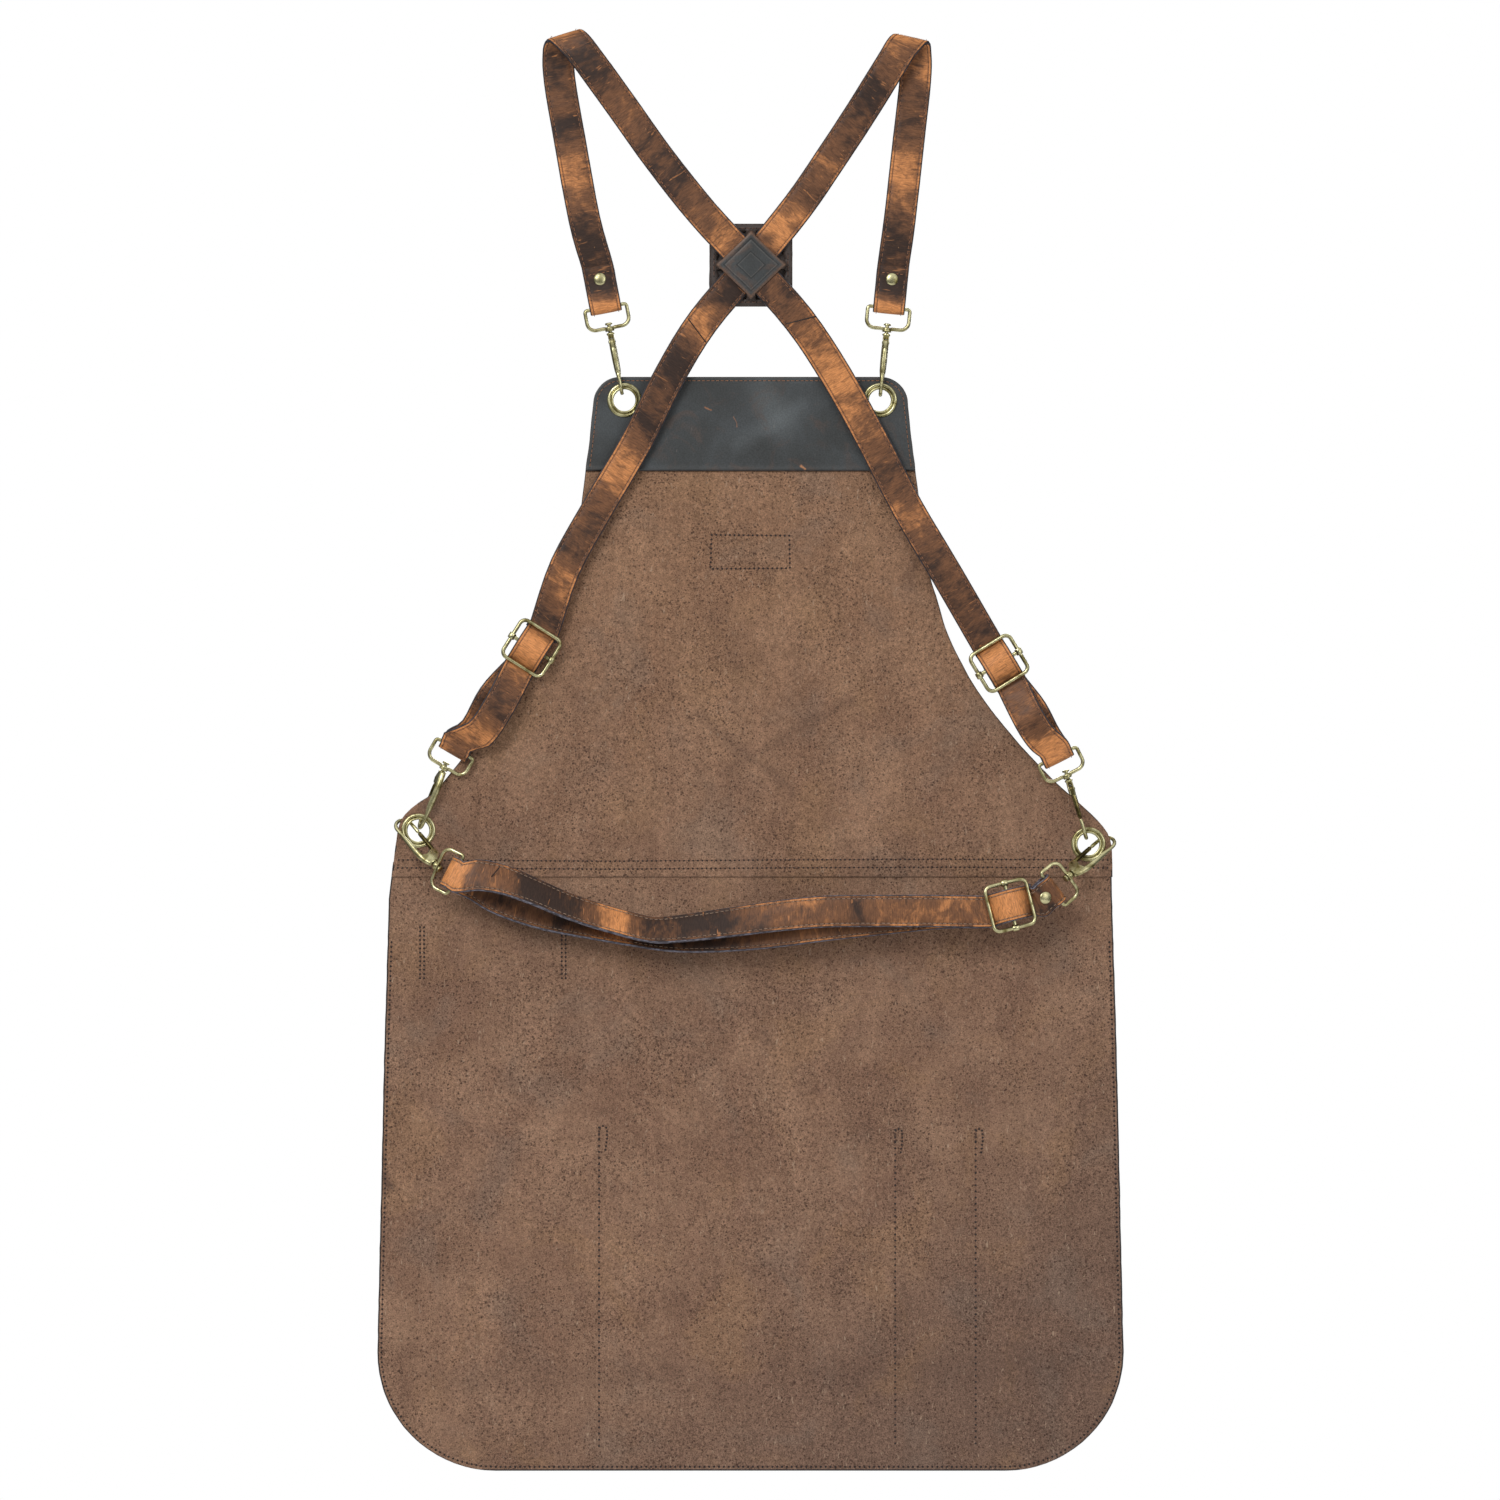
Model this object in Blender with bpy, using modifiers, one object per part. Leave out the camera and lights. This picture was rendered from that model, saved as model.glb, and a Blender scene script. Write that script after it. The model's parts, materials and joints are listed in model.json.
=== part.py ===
"""Cross-back leather welding apron, hanging by the tops of its two shoulder straps.

The bib and the skirt are flat leather panels in the XZ plane. The inside (suede) face looks
along -Y and the grain face, with the pockets, along +Y. The origin is midway between the tops
of the shoulder loops. Lengths below are millimetres, and MM turns them into metres.
"""

import math

import bmesh
import bpy
from mathutils import Matrix, Vector

MM = 0.001
Z_AXIS = Vector((0, 0, 1))

# Panels
LEATHER = 2.0
BIB_TOP, BIB_TOP_HALF, BIB_CORNER = -276.6, 126.5, 22.0
LAP_TOP, LAP_BOTTOM = -666.5, -678.6
HEM, HEM_HALF, HEM_CORNER = -1156.0, 300.0, 95.0
HEM_CORNER_TOP = HEM + HEM_CORNER
FACING_BOTTOM = -352.4
BIB_Y, SKIRT_Y, FACING_Y, LABEL_Y = -1.0, 1.3, -2.95, 1.05
# Armhole edge from the bib's side down to the waist corner, as (distance from the middle, height)
ARMHOLE_RIGHT = [(129.5, -327), (132, -347), (142.5, -427), (149.5, -453.5), (158.5, -483), (174, -514.5),
                 (190, -539.5), (210, -564.5), (227, -583.5), (246, -603), (266.5, -621), (283.5, -638),
                 (289.8, -650.5), (291, -668)]
ARMHOLE_LEFT = [(129.5, -327), (132, -347), (142.5, -427), (149.5, -453.5), (158.5, -480), (174, -510),
                (190, -534.5), (210, -559), (227, -577.5), (246, -601), (257, -612.6), (267.3, -619),
                (277.4, -628), (282.6, -636.5), (285.6, -655.3), (287.4, -670.5)]
SIDE_BELOW_WAIST = [(291.5, -722), (294.5, -818), (297.5, -950)]

# Pocket panel on the grain side
POCKET_TOP, POCKET_SEAMS, POCKET_BULGES, POCKET_Y = -882.0, (-122.0, 117.6, 182.0), (9.0, 9.0, 6.3, 6.3), 3.9
TOOL_LOOP_X, TOOL_LOOP_Z, TOOL_LOOP_HEIGHT, TOOL_LOOP_RISE = (-270.0, -144.0), -739.5, 41.0, 13.0
LABEL_SIZE, LABEL_CENTRE = (68.0, 33.0, 1.5), (0.0, -417.0)

# Grommets
GROMMET_HOLE, GROMMET_BARREL, GROMMET_FLANGE, LEATHER_HOLE = 8.75, 9.3, 14.0, 9.6
BIB_GROMMETS = {"bib_left": (-101.3, -295.3), "bib_right": (104.0, -295.4)}
WAIST_GROMMETS = {"waist_left": (-267.0, -641.3), "waist_right": (271.6, -652.2)}

# Straps
STRAP, STRAP_WIDTH, FOLD = 3.0, 25.7, 3.3
FAR_FOLD, LOOSE_FOLD = 3.9, 6.6

# Patch where the shoulder straps cross
PATCH_CENTRE, PATCH_SIDE, DIAMOND = (0.4, -187.0), 66.6, (27.5, 26.5)
PATCH_SHEET, PATCH_BACK_Y, PATCH_RIM_Y, PATCH_FRONT_Y = 1.5, -6.2, -8.0, -16.5
CROSS_NEAR, CROSS_FAR = -13.9, -10.5

# Slider buckles
SLIDER_ACROSS, SLIDER_ALONG, SLIDER_WIRE = 37.0, 34.0, 1.6

# Snap hooks
WIRE, RING_HALF, BOW_START, NOSE_END = 1.6, 7.2, 45.1, 35.6
PIVOT, PIVOT_HOLE, PIN = (10.5, 6.0), 1.25, 0.95
HEAD_THICK, GATE_THICK, TONGUE_THICK, SLOT = 5.0, 3.6, 2.3, 3.0
EYE_HALF, EYE_DEPTH, EYE_WIRE, BOSS, BORE, POST = 17.0, 18.0, 1.5, 3.8, 2.6, 1.5

LEATHER_SUEDE = ("leather_suede", (0.20, 0.12, 0.085), 0.95, 0.0)
LEATHER_STRAP = ("leather_strap", (0.33, 0.13, 0.045), 0.55, 0.0)
LEATHER_DARK = ("leather_dark", (0.035, 0.036, 0.034), 0.6, 0.0)
BRASS = ("antique_brass", (0.42, 0.36, 0.16), 0.3, 1.0)
STEEL = ("spring_steel", (0.45, 0.45, 0.43), 0.35, 1.0)


def clear_scene():
    for obj in list(bpy.data.objects):
        bpy.data.objects.remove(obj, do_unlink=True)
    for name in ("welding_apron", "cutters"):
        collection = bpy.data.collections.new(name)
        bpy.context.scene.collection.children.link(collection)
    return bpy.data.collections["welding_apron"], bpy.data.collections["cutters"]


PARTS, CUTTERS = clear_scene()


def material(spec):
    name, colour, roughness, metallic = spec
    found = bpy.data.materials.get(name)
    if found:
        return found
    made = bpy.data.materials.new(name)
    made.use_nodes = True
    shader = made.node_tree.nodes["Principled BSDF"]
    shader.inputs["Base Color"].default_value = (*colour, 1)
    shader.inputs["Roughness"].default_value = roughness
    shader.inputs["Metallic"].default_value = metallic
    return made


def add(name, data, spec, matrix=None, parent=None):
    """An object of the apron, from a mesh or a curve."""
    obj = bpy.data.objects.new(name, data)
    PARTS.objects.link(obj)
    if spec and not data.materials:
        data.materials.append(material(spec))
    if matrix is not None:
        obj.matrix_world = matrix
    if parent is not None:
        obj.parent = parent
    return obj


def cutter_box(name, low, high):
    mesh = bpy.data.meshes.new(name)
    shape = bmesh.new()
    bmesh.ops.create_cube(shape, size=1)
    size = (Vector(high) - Vector(low)) * MM
    centre = (Vector(high) + Vector(low)) * MM / 2
    place = Matrix.Translation(centre) @ Matrix.Diagonal((*size, 1))
    bmesh.ops.transform(shape, matrix=place, verts=shape.verts)
    shape.to_mesh(mesh)
    shape.free()
    return cutter(name, mesh)


def rod_mesh(name, start, end, radius, sides=12):
    """A closed cylinder between two points."""
    a, b = Vector(start) * MM, Vector(end) * MM
    shape = bmesh.new()
    bmesh.ops.create_cone(shape, cap_ends=True, segments=sides, radius1=radius * MM, radius2=radius * MM,
                          depth=(b - a).length)
    turn = Z_AXIS.rotation_difference(b - a).to_matrix().to_4x4()
    bmesh.ops.transform(shape, matrix=Matrix.Translation((a + b) / 2) @ turn, verts=shape.verts)
    mesh = bpy.data.meshes.new(name)
    shape.to_mesh(mesh)
    shape.free()
    return mesh


def cutter(name, mesh):
    obj = bpy.data.objects.new(name, mesh)
    CUTTERS.objects.link(obj)
    obj.hide_render = True
    obj.display_type = "WIRE"
    return obj


def combine(obj, other, operation="DIFFERENCE"):
    step = obj.modifiers.new(operation.lower(), "BOOLEAN")
    step.operation = operation
    step.solver = "EXACT"
    step.object = other


def evaluated_mesh(obj, name):
    """The object's shape with its modifiers in it, as a mesh of its own, with loose caps welded."""
    graph = bpy.context.evaluated_depsgraph_get()
    mesh = bpy.data.meshes.new_from_object(obj.evaluated_get(graph))
    mesh.name = name
    shape = bmesh.new()
    shape.from_mesh(mesh)
    bmesh.ops.remove_doubles(shape, verts=shape.verts, dist=1e-6)
    shape.to_mesh(mesh)
    shape.free()
    return mesh


def as_mesh(obj):
    """The same object as a mesh, so that it can be cut or joined."""
    name, matrix = obj.name, obj.matrix_world.copy()
    mesh = evaluated_mesh(obj, name)
    bpy.data.objects.remove(obj, do_unlink=True)
    made = bpy.data.objects.new(name, mesh)
    PARTS.objects.link(made)
    made.matrix_world = matrix
    return made


def flat_curve(name, loops, thickness):
    """A filled curve in its own XY plane: the first loop is its edge, and the others are holes."""
    curve = bpy.data.curves.new(name, "CURVE")
    curve.dimensions = "2D"
    curve.fill_mode = "BOTH"
    curve.extrude = thickness / 2 * MM
    for loop in loops:
        spline = curve.splines.new("POLY")
        spline.points.add(len(loop) - 1)
        spline.use_cyclic_u = True
        for point, (x, y) in zip(spline.points, loop):
            point.co = (x * MM, y * MM, 0, 1)
    return curve


def outline(name, loops, thickness, spec, y):
    """A flat panel in the XZ plane."""
    place = Matrix.Translation((0, y * MM, 0)) @ Matrix.Rotation(math.pi / 2, 4, "X")
    return add(name, flat_curve(name, loops, thickness), spec, place)


def wire(name, points, radius, spec, closed=False, sides=2):
    curve = bpy.data.curves.new(name, "CURVE")
    curve.dimensions = "3D"
    curve.bevel_depth = radius * MM
    curve.bevel_resolution = sides
    curve.use_fill_caps = True
    spline = curve.splines.new("POLY")
    spline.points.add(len(points) - 1)
    spline.use_cyclic_u = closed
    for point, place in zip(spline.points, points):
        point.co = (*(Vector(place) * MM), 1)
    return add(name, curve, spec)


def arc(centre, radius, start, end, steps):
    """Points of an arc, angles in degrees."""
    turns = [math.radians(start + (end - start) * i / steps) for i in range(steps + 1)]
    return [(centre[0] + radius * math.cos(t), centre[1] + radius * math.sin(t)) for t in turns]


def smooth(points, steps):
    """A Catmull-Rom curve through points of any dimension, as tuples."""
    ends = [points[0], *points, points[-1]]
    out = []
    for a, b, c, d in zip(ends, ends[1:], ends[2:], ends[3:]):
        for i in range(steps):
            t = i / steps
            out.append(tuple(0.5 * (2 * q + (r - p) * t + (2 * p - 5 * q + 4 * r - s) * t * t
                                    + (3 * q - p - 3 * r + s) * t ** 3)
                             for p, q, r, s in zip(a, b, c, d)))
    return [*out, tuple(points[-1])]


# --- Panels -------------------------------------------------------------------------------


def mirrored(points):
    return [(-x, z) for x, z in points]


def circle(centre, radius, steps=20):
    return arc(centre, radius, 0, 360, steps)[:-1]


def bib_loops():
    corner = arc((BIB_TOP_HALF - BIB_CORNER, BIB_TOP - BIB_CORNER), BIB_CORNER, 90, 0, 5)
    right = corner + smooth(ARMHOLE_RIGHT, 2) + [(291, LAP_BOTTOM)]
    left = corner + smooth(ARMHOLE_LEFT, 2) + [(288.5, LAP_BOTTOM)]
    edge = right + mirrored(left)[::-1]
    places = (*BIB_GROMMETS.values(), *WAIST_GROMMETS.values())
    return [edge] + [circle(place, LEATHER_HOLE) for place in places]


def facing_loops():
    corner = arc((BIB_TOP_HALF - BIB_CORNER, BIB_TOP - BIB_CORNER), BIB_CORNER, 90, 0, 5)
    side = corner + [(129.5, -327), (132.5, FACING_BOTTOM)]
    return [side + mirrored(side)[::-1]] + [circle(place, LEATHER_HOLE) for place in BIB_GROMMETS.values()]


def hem_corner(steps=9):
    return arc((HEM_HALF - HEM_CORNER, HEM_CORNER_TOP), HEM_CORNER, 0, -90, steps)


def skirt_half(height):
    """Half the skirt's width at a height."""
    if height < HEM_CORNER_TOP:
        drop = min(HEM_CORNER_TOP - height, HEM_CORNER)
        return HEM_HALF - HEM_CORNER + math.sqrt(HEM_CORNER ** 2 - drop ** 2)
    points = [(290, LAP_TOP), *SIDE_BELOW_WAIST, (HEM_HALF, HEM_CORNER_TOP)]
    for (x0, z0), (x1, z1) in zip(points, points[1:]):
        if height >= z1:
            return x0 + (x1 - x0) * (z0 - height) / (z0 - z1)
    return HEM_HALF


def make_panels():
    outline("bib_panel", bib_loops(), LEATHER, LEATHER_SUEDE, BIB_Y)
    outline("bib_facing", facing_loops(), 1.3, LEATHER_DARK, FACING_Y)
    side = [(289, LAP_TOP), *SIDE_BELOW_WAIST, *hem_corner()]
    outline("skirt_panel", [side + mirrored(side)[::-1]], LEATHER, LEATHER_SUEDE, SKIRT_Y)
    x, z = LABEL_CENTRE
    half_wide, half_high = LABEL_SIZE[0] / 2, LABEL_SIZE[1] / 2
    corners = []
    for sx, sz, start in ((1, 1, 90), (1, -1, 0), (-1, -1, -90), (-1, 1, 180)):
        corners += arc((x + sx * (half_wide - 4), z + sz * (half_high - 4)), 4, start, start - 90, 3)
    outline("chest_label", [corners], LABEL_SIZE[2], LEATHER_STRAP, LABEL_Y)


def sheet(name, rows, thickness, spec):
    """A shell on a grid of points, with Solidify."""
    shape = bmesh.new()
    grid = [[shape.verts.new(Vector(p) * MM) for p in row] for row in rows]
    for upper, lower in zip(grid, grid[1:]):
        for a, b, c, d in zip(upper, upper[1:], lower[1:], lower):
            shape.faces.new((a, b, c, d))
    mesh = bpy.data.meshes.new(name)
    shape.to_mesh(mesh)
    shape.free()
    obj = add(name, mesh, spec)
    step = obj.modifiers.new("thickness", "SOLIDIFY")
    step.thickness = thickness * MM
    step.offset = 0
    return obj


def make_pocket_panel():
    """One panel over the skirt's lower front, sewn down at its edge and between its pockets."""
    rows = []
    for z in (POCKET_TOP, -930, -980, -1030, -1065, -1090, -1115, -1135, -1151):
        half = skirt_half(z) - 1.0
        borders = [-half, *POCKET_SEAMS, half]
        fade = max(0.0, min(1.0, (z + 1130) / 120))
        row = []
        for left, right, count, bulge in zip(borders, borders[1:], (8, 8, 4, 4), POCKET_BULGES):
            for i in range(count):
                depth = bulge * math.sin(math.pi * i / count) ** 0.8 * fade
                row.append((left + (right - left) * i / count, POCKET_Y + depth, z))
        rows.append([*row, (half, POCKET_Y, z)])
    sheet("pocket_panel", rows, LEATHER, LEATHER_STRAP)


def make_tool_loop():
    x0, x1 = TOOL_LOOP_X
    flat, top = POCKET_Y - 0.1, POCKET_Y + TOOL_LOOP_RISE
    line = smooth([(x0, flat), (x0 + 9, flat), (x0 + 24, (flat + top) / 2), (x0 + 45, top),
                   (x1 - 45, top), (x1 - 24, (flat + top) / 2), (x1 - 9, flat), (x1, flat)], 3)
    low, high = TOOL_LOOP_Z - TOOL_LOOP_HEIGHT / 2, TOOL_LOOP_Z + TOOL_LOOP_HEIGHT / 2
    sheet("tool_loop", [[(x, y, z) for x, y in line] for z in (high, low)], LEATHER, LEATHER_STRAP)


# --- Turned pieces ------------------------------------------------------------------------


def turned(name, profile, spec, matrix, steps=16, closed=True):
    """A profile of (radius, height) turned about local Z. An open one starts and ends on Z."""
    mesh = bpy.data.meshes.new(name)
    edges = [(i, i + 1) for i in range(len(profile) - 1)]
    if closed:
        edges.append((len(profile) - 1, 0))
    mesh.from_pydata([(r * MM, 0, h * MM) for r, h in profile], edges, [])
    step = add(name, mesh, spec, matrix).modifiers.new("turn", "SCREW")
    step.axis = "Z"
    step.steps = step.render_steps = steps
    step.use_merge_vertices = True
    step.merge_threshold = 1e-6
    step.use_normal_calculate = not closed


def facing_viewer(x, y, z):
    """A frame at a point, with local Z along -Y."""
    return Matrix.Translation(Vector((x, y, z)) * MM) @ Matrix.Rotation(math.pi / 2, 4, "X")


def make_grommet(name, place, front, stack):
    """A grommet whose flange lies on the front face, and its washer behind the leather."""
    back = -stack
    grommet = [(GROMMET_HOLE, 0.55), (10.2, 0.95), (12.6, 0.9), (GROMMET_FLANGE, 0.4), (13.8, 0.2),
               (GROMMET_BARREL, 0.2), (GROMMET_BARREL, back - 0.85), (10.8, back - 0.85),
               (10.6, back - 1.2), (9.4, back - 1.3), (GROMMET_HOLE, back - 0.9)]
    washer = [(LEATHER_HOLE, back - 0.2), (13.4, back - 0.2), (13.2, back - 0.6), (LEATHER_HOLE, back - 0.65)]
    x, z = place
    turned(f"grommet_{name}", grommet, BRASS, facing_viewer(x, front, z))
    turned(f"grommet_washer_{name}", washer, BRASS, facing_viewer(x, front, z))


def make_grommets():
    for name, place in BIB_GROMMETS.items():
        make_grommet(name, place, -3.6, 3.6)
    for name, place in WAIST_GROMMETS.items():
        make_grommet(name, place, -2.0, 2.0)


# --- Straps -------------------------------------------------------------------------------


class Frame:
    """A local frame on a strap: along it, across it, and up from its face towards the viewer."""

    def __init__(self, centre, along, across):
        self.centre = Vector(centre)
        self.along = Vector(along).normalized()
        across = Vector(across)
        self.across = (across - across.dot(self.along) * self.along).normalized()
        self.up = self.along.cross(self.across).normalized()
        if self.up.y > 0:
            self.up = -self.up

    def at(self, along, up, sideways=0.0):
        """A station of a strap: a point, and the direction across it."""
        place = self.centre + along * self.along + up * self.up + sideways * self.across
        return (*place, *self.across)

    def matrix(self):
        """The frame as a matrix whose X runs across and whose Z looks up."""
        columns = Matrix((self.across, self.up.cross(self.across), self.up)).transposed()
        return Matrix.Translation(self.centre * MM) @ columns.to_4x4()


def fold_round(frame, radius, first_up, steps=6):
    """Stations of a half turn round a bar at the frame's centre, on its far side."""
    out = []
    for i in range(steps + 1):
        turn = math.pi * i / steps
        out.append(frame.at(-radius * math.sin(turn), first_up * radius * math.cos(turn)))
    return out


def strap_mesh(name, stations, steps=2):
    """A strap through stations of (point, across), with thickness and square edges."""
    left, right = [], []
    path = smooth(stations, steps)
    for i, station in enumerate(path):
        place = Vector(station[:3])
        before, after = Vector(path[max(i - 1, 0)][:3]), Vector(path[min(i + 1, len(path) - 1)][:3])
        along = (after - before).normalized()
        across = Vector(station[3:])
        across = (across - across.dot(along) * along).normalized()
        left.append(place - across * STRAP_WIDTH / 2)
        right.append(place + across * STRAP_WIDTH / 2)
    return sheet(name, [left, right], STRAP, LEATHER_STRAP)


def slider_pass(frame):
    """The strap over the slider's middle bar and under both its end bars."""
    hump = [(-20, -4.0), (-14, -2.6), (-7, 5.2), (0, 7.4), (7, 5.2), (14, -2.6), (20, -4.0)]
    return [frame.at(s, h) for s, h in hump]


def slider_return(frame):
    """The strap's end, coming back below the slider and wrapped round its middle bar."""
    out = [frame.at(20, -7.7), frame.at(10, -6.2), frame.at(3, -4.0)]
    for i in range(6):
        turn = math.pi * i / 5
        out.append(frame.at(-FOLD * math.sin(turn), -FOLD * math.cos(turn)))
    return out


def shoulder_stations(eye, loop, slider, far_eye, far):
    """A shoulder strap from its riveted flap, over the shoulder and the patch, to the slider."""
    flap = 34
    out = [eye.at(flap, 1.75), eye.at(20, 1.8), eye.at(9, 2.8), eye.at(3, FOLD)]
    out += fold_round(eye, FOLD, 1)
    out += [eye.at(3, -FOLD), eye.at(9, -2.8), eye.at(20, -1.8), eye.at(flap, -1.75)]
    out += loop + slider_pass(slider) + far["out"]
    out += [far_eye.at(7, FAR_FOLD)] + fold_round(far_eye, FAR_FOLD, 1) + [far_eye.at(7, -FAR_FOLD)]
    return out + far["back"] + slider_return(slider)


def rivet_hole(strap, place, frame):
    centre = Vector(frame.at(*place)[:3])
    name = f"{strap.name}_rivet_hole"
    hole = cutter(name, rod_mesh(name, centre - 9 * frame.up, centre + 9 * frame.up, 1.9, 10))
    combine(strap, hole)


def make_rivet(name, place, frame, half):
    """A two-cap rivet through a folded strap end: cap, post and cap in one turned piece."""
    cap, post = 5.0, 1.5
    profile = [(0, half + 1.6), (3, half + 1.45), (cap, half + 0.6), (cap, half + 0.25), (post, half + 0.25),
               (post, -half - 0.25), (cap, -half - 0.25), (cap, -half - 0.6), (3, -half - 1.3),
               (0, -half - 1.4)]
    matrix = Frame(frame.at(*place)[:3], frame.along, frame.across).matrix()
    turned(name, profile, BRASS, matrix, steps=12, closed=False)


def make_slider(name, frame):
    """A wire frame and the bar across its middle, whose ends are rolled round the frame's sides."""
    half_across, half_along, corner = SLIDER_ACROSS / 2, SLIDER_ALONG / 2, 5.0
    loop = []
    for sx, sy, start in ((1, 1, 0), (-1, 1, 90), (-1, -1, 180), (1, -1, 270)):
        loop += arc((sx * (half_across - corner), sy * (half_along - corner)), corner, start, start + 90, 3)
    ring = wire(f"slider_frame_{name}", [(x, y, 0) for x, y in loop], SLIDER_WIRE, BRASS, closed=True)
    ring.matrix_world = frame.matrix()
    rod = rod_mesh("bar", (-half_across, 0, 0), (half_across, 0, 0), SLIDER_WIRE, 8)
    bar = add(f"slider_bar_{name}", rod, BRASS)
    bar.matrix_world = frame.matrix()
    for side in (-1, 1):
        x = side * half_across
        lump = cutter(f"lump_{name}_{side}", rod_mesh("lump", (x, -2.6, 0), (x, 2.6, 0), 2.9, 10))
        bore = cutter(f"bore_{name}_{side}", rod_mesh("bore", (x, -6, 0), (x, 6, 0), SLIDER_WIRE + 0.3, 10))
        lump.matrix_world = bore.matrix_world = frame.matrix()
        combine(bar, lump, "UNION")
        combine(bar, bore)


# --- Snap hooks ---------------------------------------------------------------------------
# A hook's own frame: X runs from the swivel to the bow, Y from the spine to the gate.


def flat_plate(name, loops, thickness):
    return as_mesh(add(name, flat_curve(name, loops, thickness), BRASS))


def detached_mesh(obj, name):
    mesh = evaluated_mesh(obj, name)
    bpy.data.objects.remove(obj, do_unlink=True)
    mesh.materials.clear()
    mesh.materials.append(material(BRASS))
    return mesh


def hook_body_mesh():
    """Head with its slot, swivel post, spine, bow and nose, in one casting."""
    head = [(3.3, -3.0), (6.5, -8.7), (17.0, -8.7), (17.0, -6.0), (13.0, -4.6), (12.4, -1.0), (13.2, 1.0),
            (15.2, 3.8), (15.2, 8.0), (13.6, 8.9), (6.5, 8.7), (3.3, 3.0)]
    body = flat_plate("head", [head, circle(PIVOT, PIVOT_HOLE, 10)[::-1]], HEAD_THICK)
    combine(body, cutter_box("head_slot", (6.2, 1.2, -SLOT / 2), (18, 12, SLOT / 2)))
    ring = [(x, -RING_HALF, 0) for x in (14.0, 30.0)]
    ring += [(x, y, 0) for x, y in arc((BOW_START, 0), RING_HALF, -90, 90, 9)]
    ring += [(NOSE_END, RING_HALF, 0)]
    spine = as_mesh(wire("ring_wire", ring, WIRE, BRASS, sides=1))
    combine(body, cutter("ring_join", detached_mesh(spine, "ring")), "UNION")
    combine(body, cutter("post_join", rod_mesh("post", (-5.0, 0, 0), (5, 0, 0), POST, 10)), "UNION")
    combine(body, cutter("post_head", rod_mesh("post_head", (-5.3, 0, 0), (-3.6, 0, 0), 2.9, 10)), "UNION")
    return detached_mesh(body, "hook_body")


def gate_mesh():
    """The gate: a tongue on the pivot pin, between the head's cheeks, and a bar up to the nose."""
    px, py = PIVOT
    bar = [(16.6, 5.6), (34.4, 5.7), (35.1, 7.2), (34.6, 8.8), (16.6, 8.9)]
    tongue = [(14.0, 8.4)] + arc((px, py), 2.4, 90, 270, 6) + [(14.0, 4.4)]
    gate = flat_plate("gate", [bar + tongue, circle(PIVOT, PIVOT_HOLE, 10)[::-1]], GATE_THICK)
    for side in (-1, 1):
        low, high = sorted((side * TONGUE_THICK / 2, side * 4.0))
        combine(gate, cutter_box(f"gate_cheek_{side}", (6, 2, low), (16.5, 10, high)))
    return detached_mesh(gate, "hook_gate")


def gate_spring_mesh():
    strip = [(7.4, 1.55), (11.0, 1.7), (15.6, 2.6), (15.5, 3.05), (11.0, 2.2), (7.4, 2.05)]
    return detached_mesh(flat_plate("leaf", [strip], 1.9), "gate_spring")


def eye_mesh():
    """The D loop that the strap folds round, with the boss that the hook's post turns in."""
    half, deep = EYE_HALF, EYE_DEPTH
    side = [(-1.2, 3.1), (-1.2, 8.0), (-4.2, 13.5), (-9.5, half), (-14.5, half), (1.2 - deep, half - 1.6),
            (-deep, half - 3.4)]
    loop = [(x, y, 0) for x, y in side] + [(x, -y, 0) for x, y in side[::-1]]
    ring = as_mesh(wire("eye_wire", loop, EYE_WIRE, BRASS, sides=1))
    combine(ring, cutter("boss_join", rod_mesh("boss", (-2.0, 0, 0), (1.6, 0, 0), BOSS, 12)), "UNION")
    combine(ring, cutter("boss_bore", rod_mesh("boss_bore", (-9, 0, 0), (9, 0, 0), BORE, 12)))
    return detached_mesh(ring, "hook_eye")


def basis(origin, x_axis, y_axis):
    """A matrix with local X along x_axis and local Y as near y_axis as it can be."""
    x = Vector(x_axis).normalized()
    y = Vector(y_axis)
    y = (y - y.dot(x) * x).normalized()
    return Matrix.Translation(Vector(origin) * MM) @ Matrix((x, y, x.cross(y))).transposed().to_4x4()


def make_hook(name, meshes, swivel, along, to_gate, eye_along, bar):
    """A swivel snap hook: its eye stays with the strap, and the rest turns on its post."""
    eye = add(f"hook_eye_{name}", meshes["eye"], BRASS)
    eye.matrix_world = basis(swivel, eye_along, bar)
    turning = bpy.data.objects.new(f"swivel_{name}", None)
    PARTS.objects.link(turning)
    turning.matrix_world = basis(swivel, along, to_gate)
    add(f"hook_body_{name}", meshes["body"], BRASS, parent=turning)
    add(f"gate_pin_{name}", meshes["pin"], BRASS, parent=turning)
    add(f"gate_spring_{name}", meshes["spring"], STEEL, parent=turning)
    pivot = bpy.data.objects.new(f"gate_pivot_{name}", None)
    PARTS.objects.link(pivot)
    pivot.parent = turning
    pivot.location = Vector((*PIVOT, 0)) * MM
    gate = add(f"hook_gate_{name}", meshes["gate"], BRASS, parent=pivot)
    gate.location = -pivot.location


def hook_meshes():
    x, y = PIVOT
    pin = rod_mesh("gate_pin", (x, y, -2.7), (x, y, 2.7), PIN, 10)
    pin.materials.append(material(BRASS))
    return {"eye": eye_mesh(), "body": hook_body_mesh(), "gate": gate_mesh(), "pin": pin,
            "spring": gate_spring_mesh()}


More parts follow.
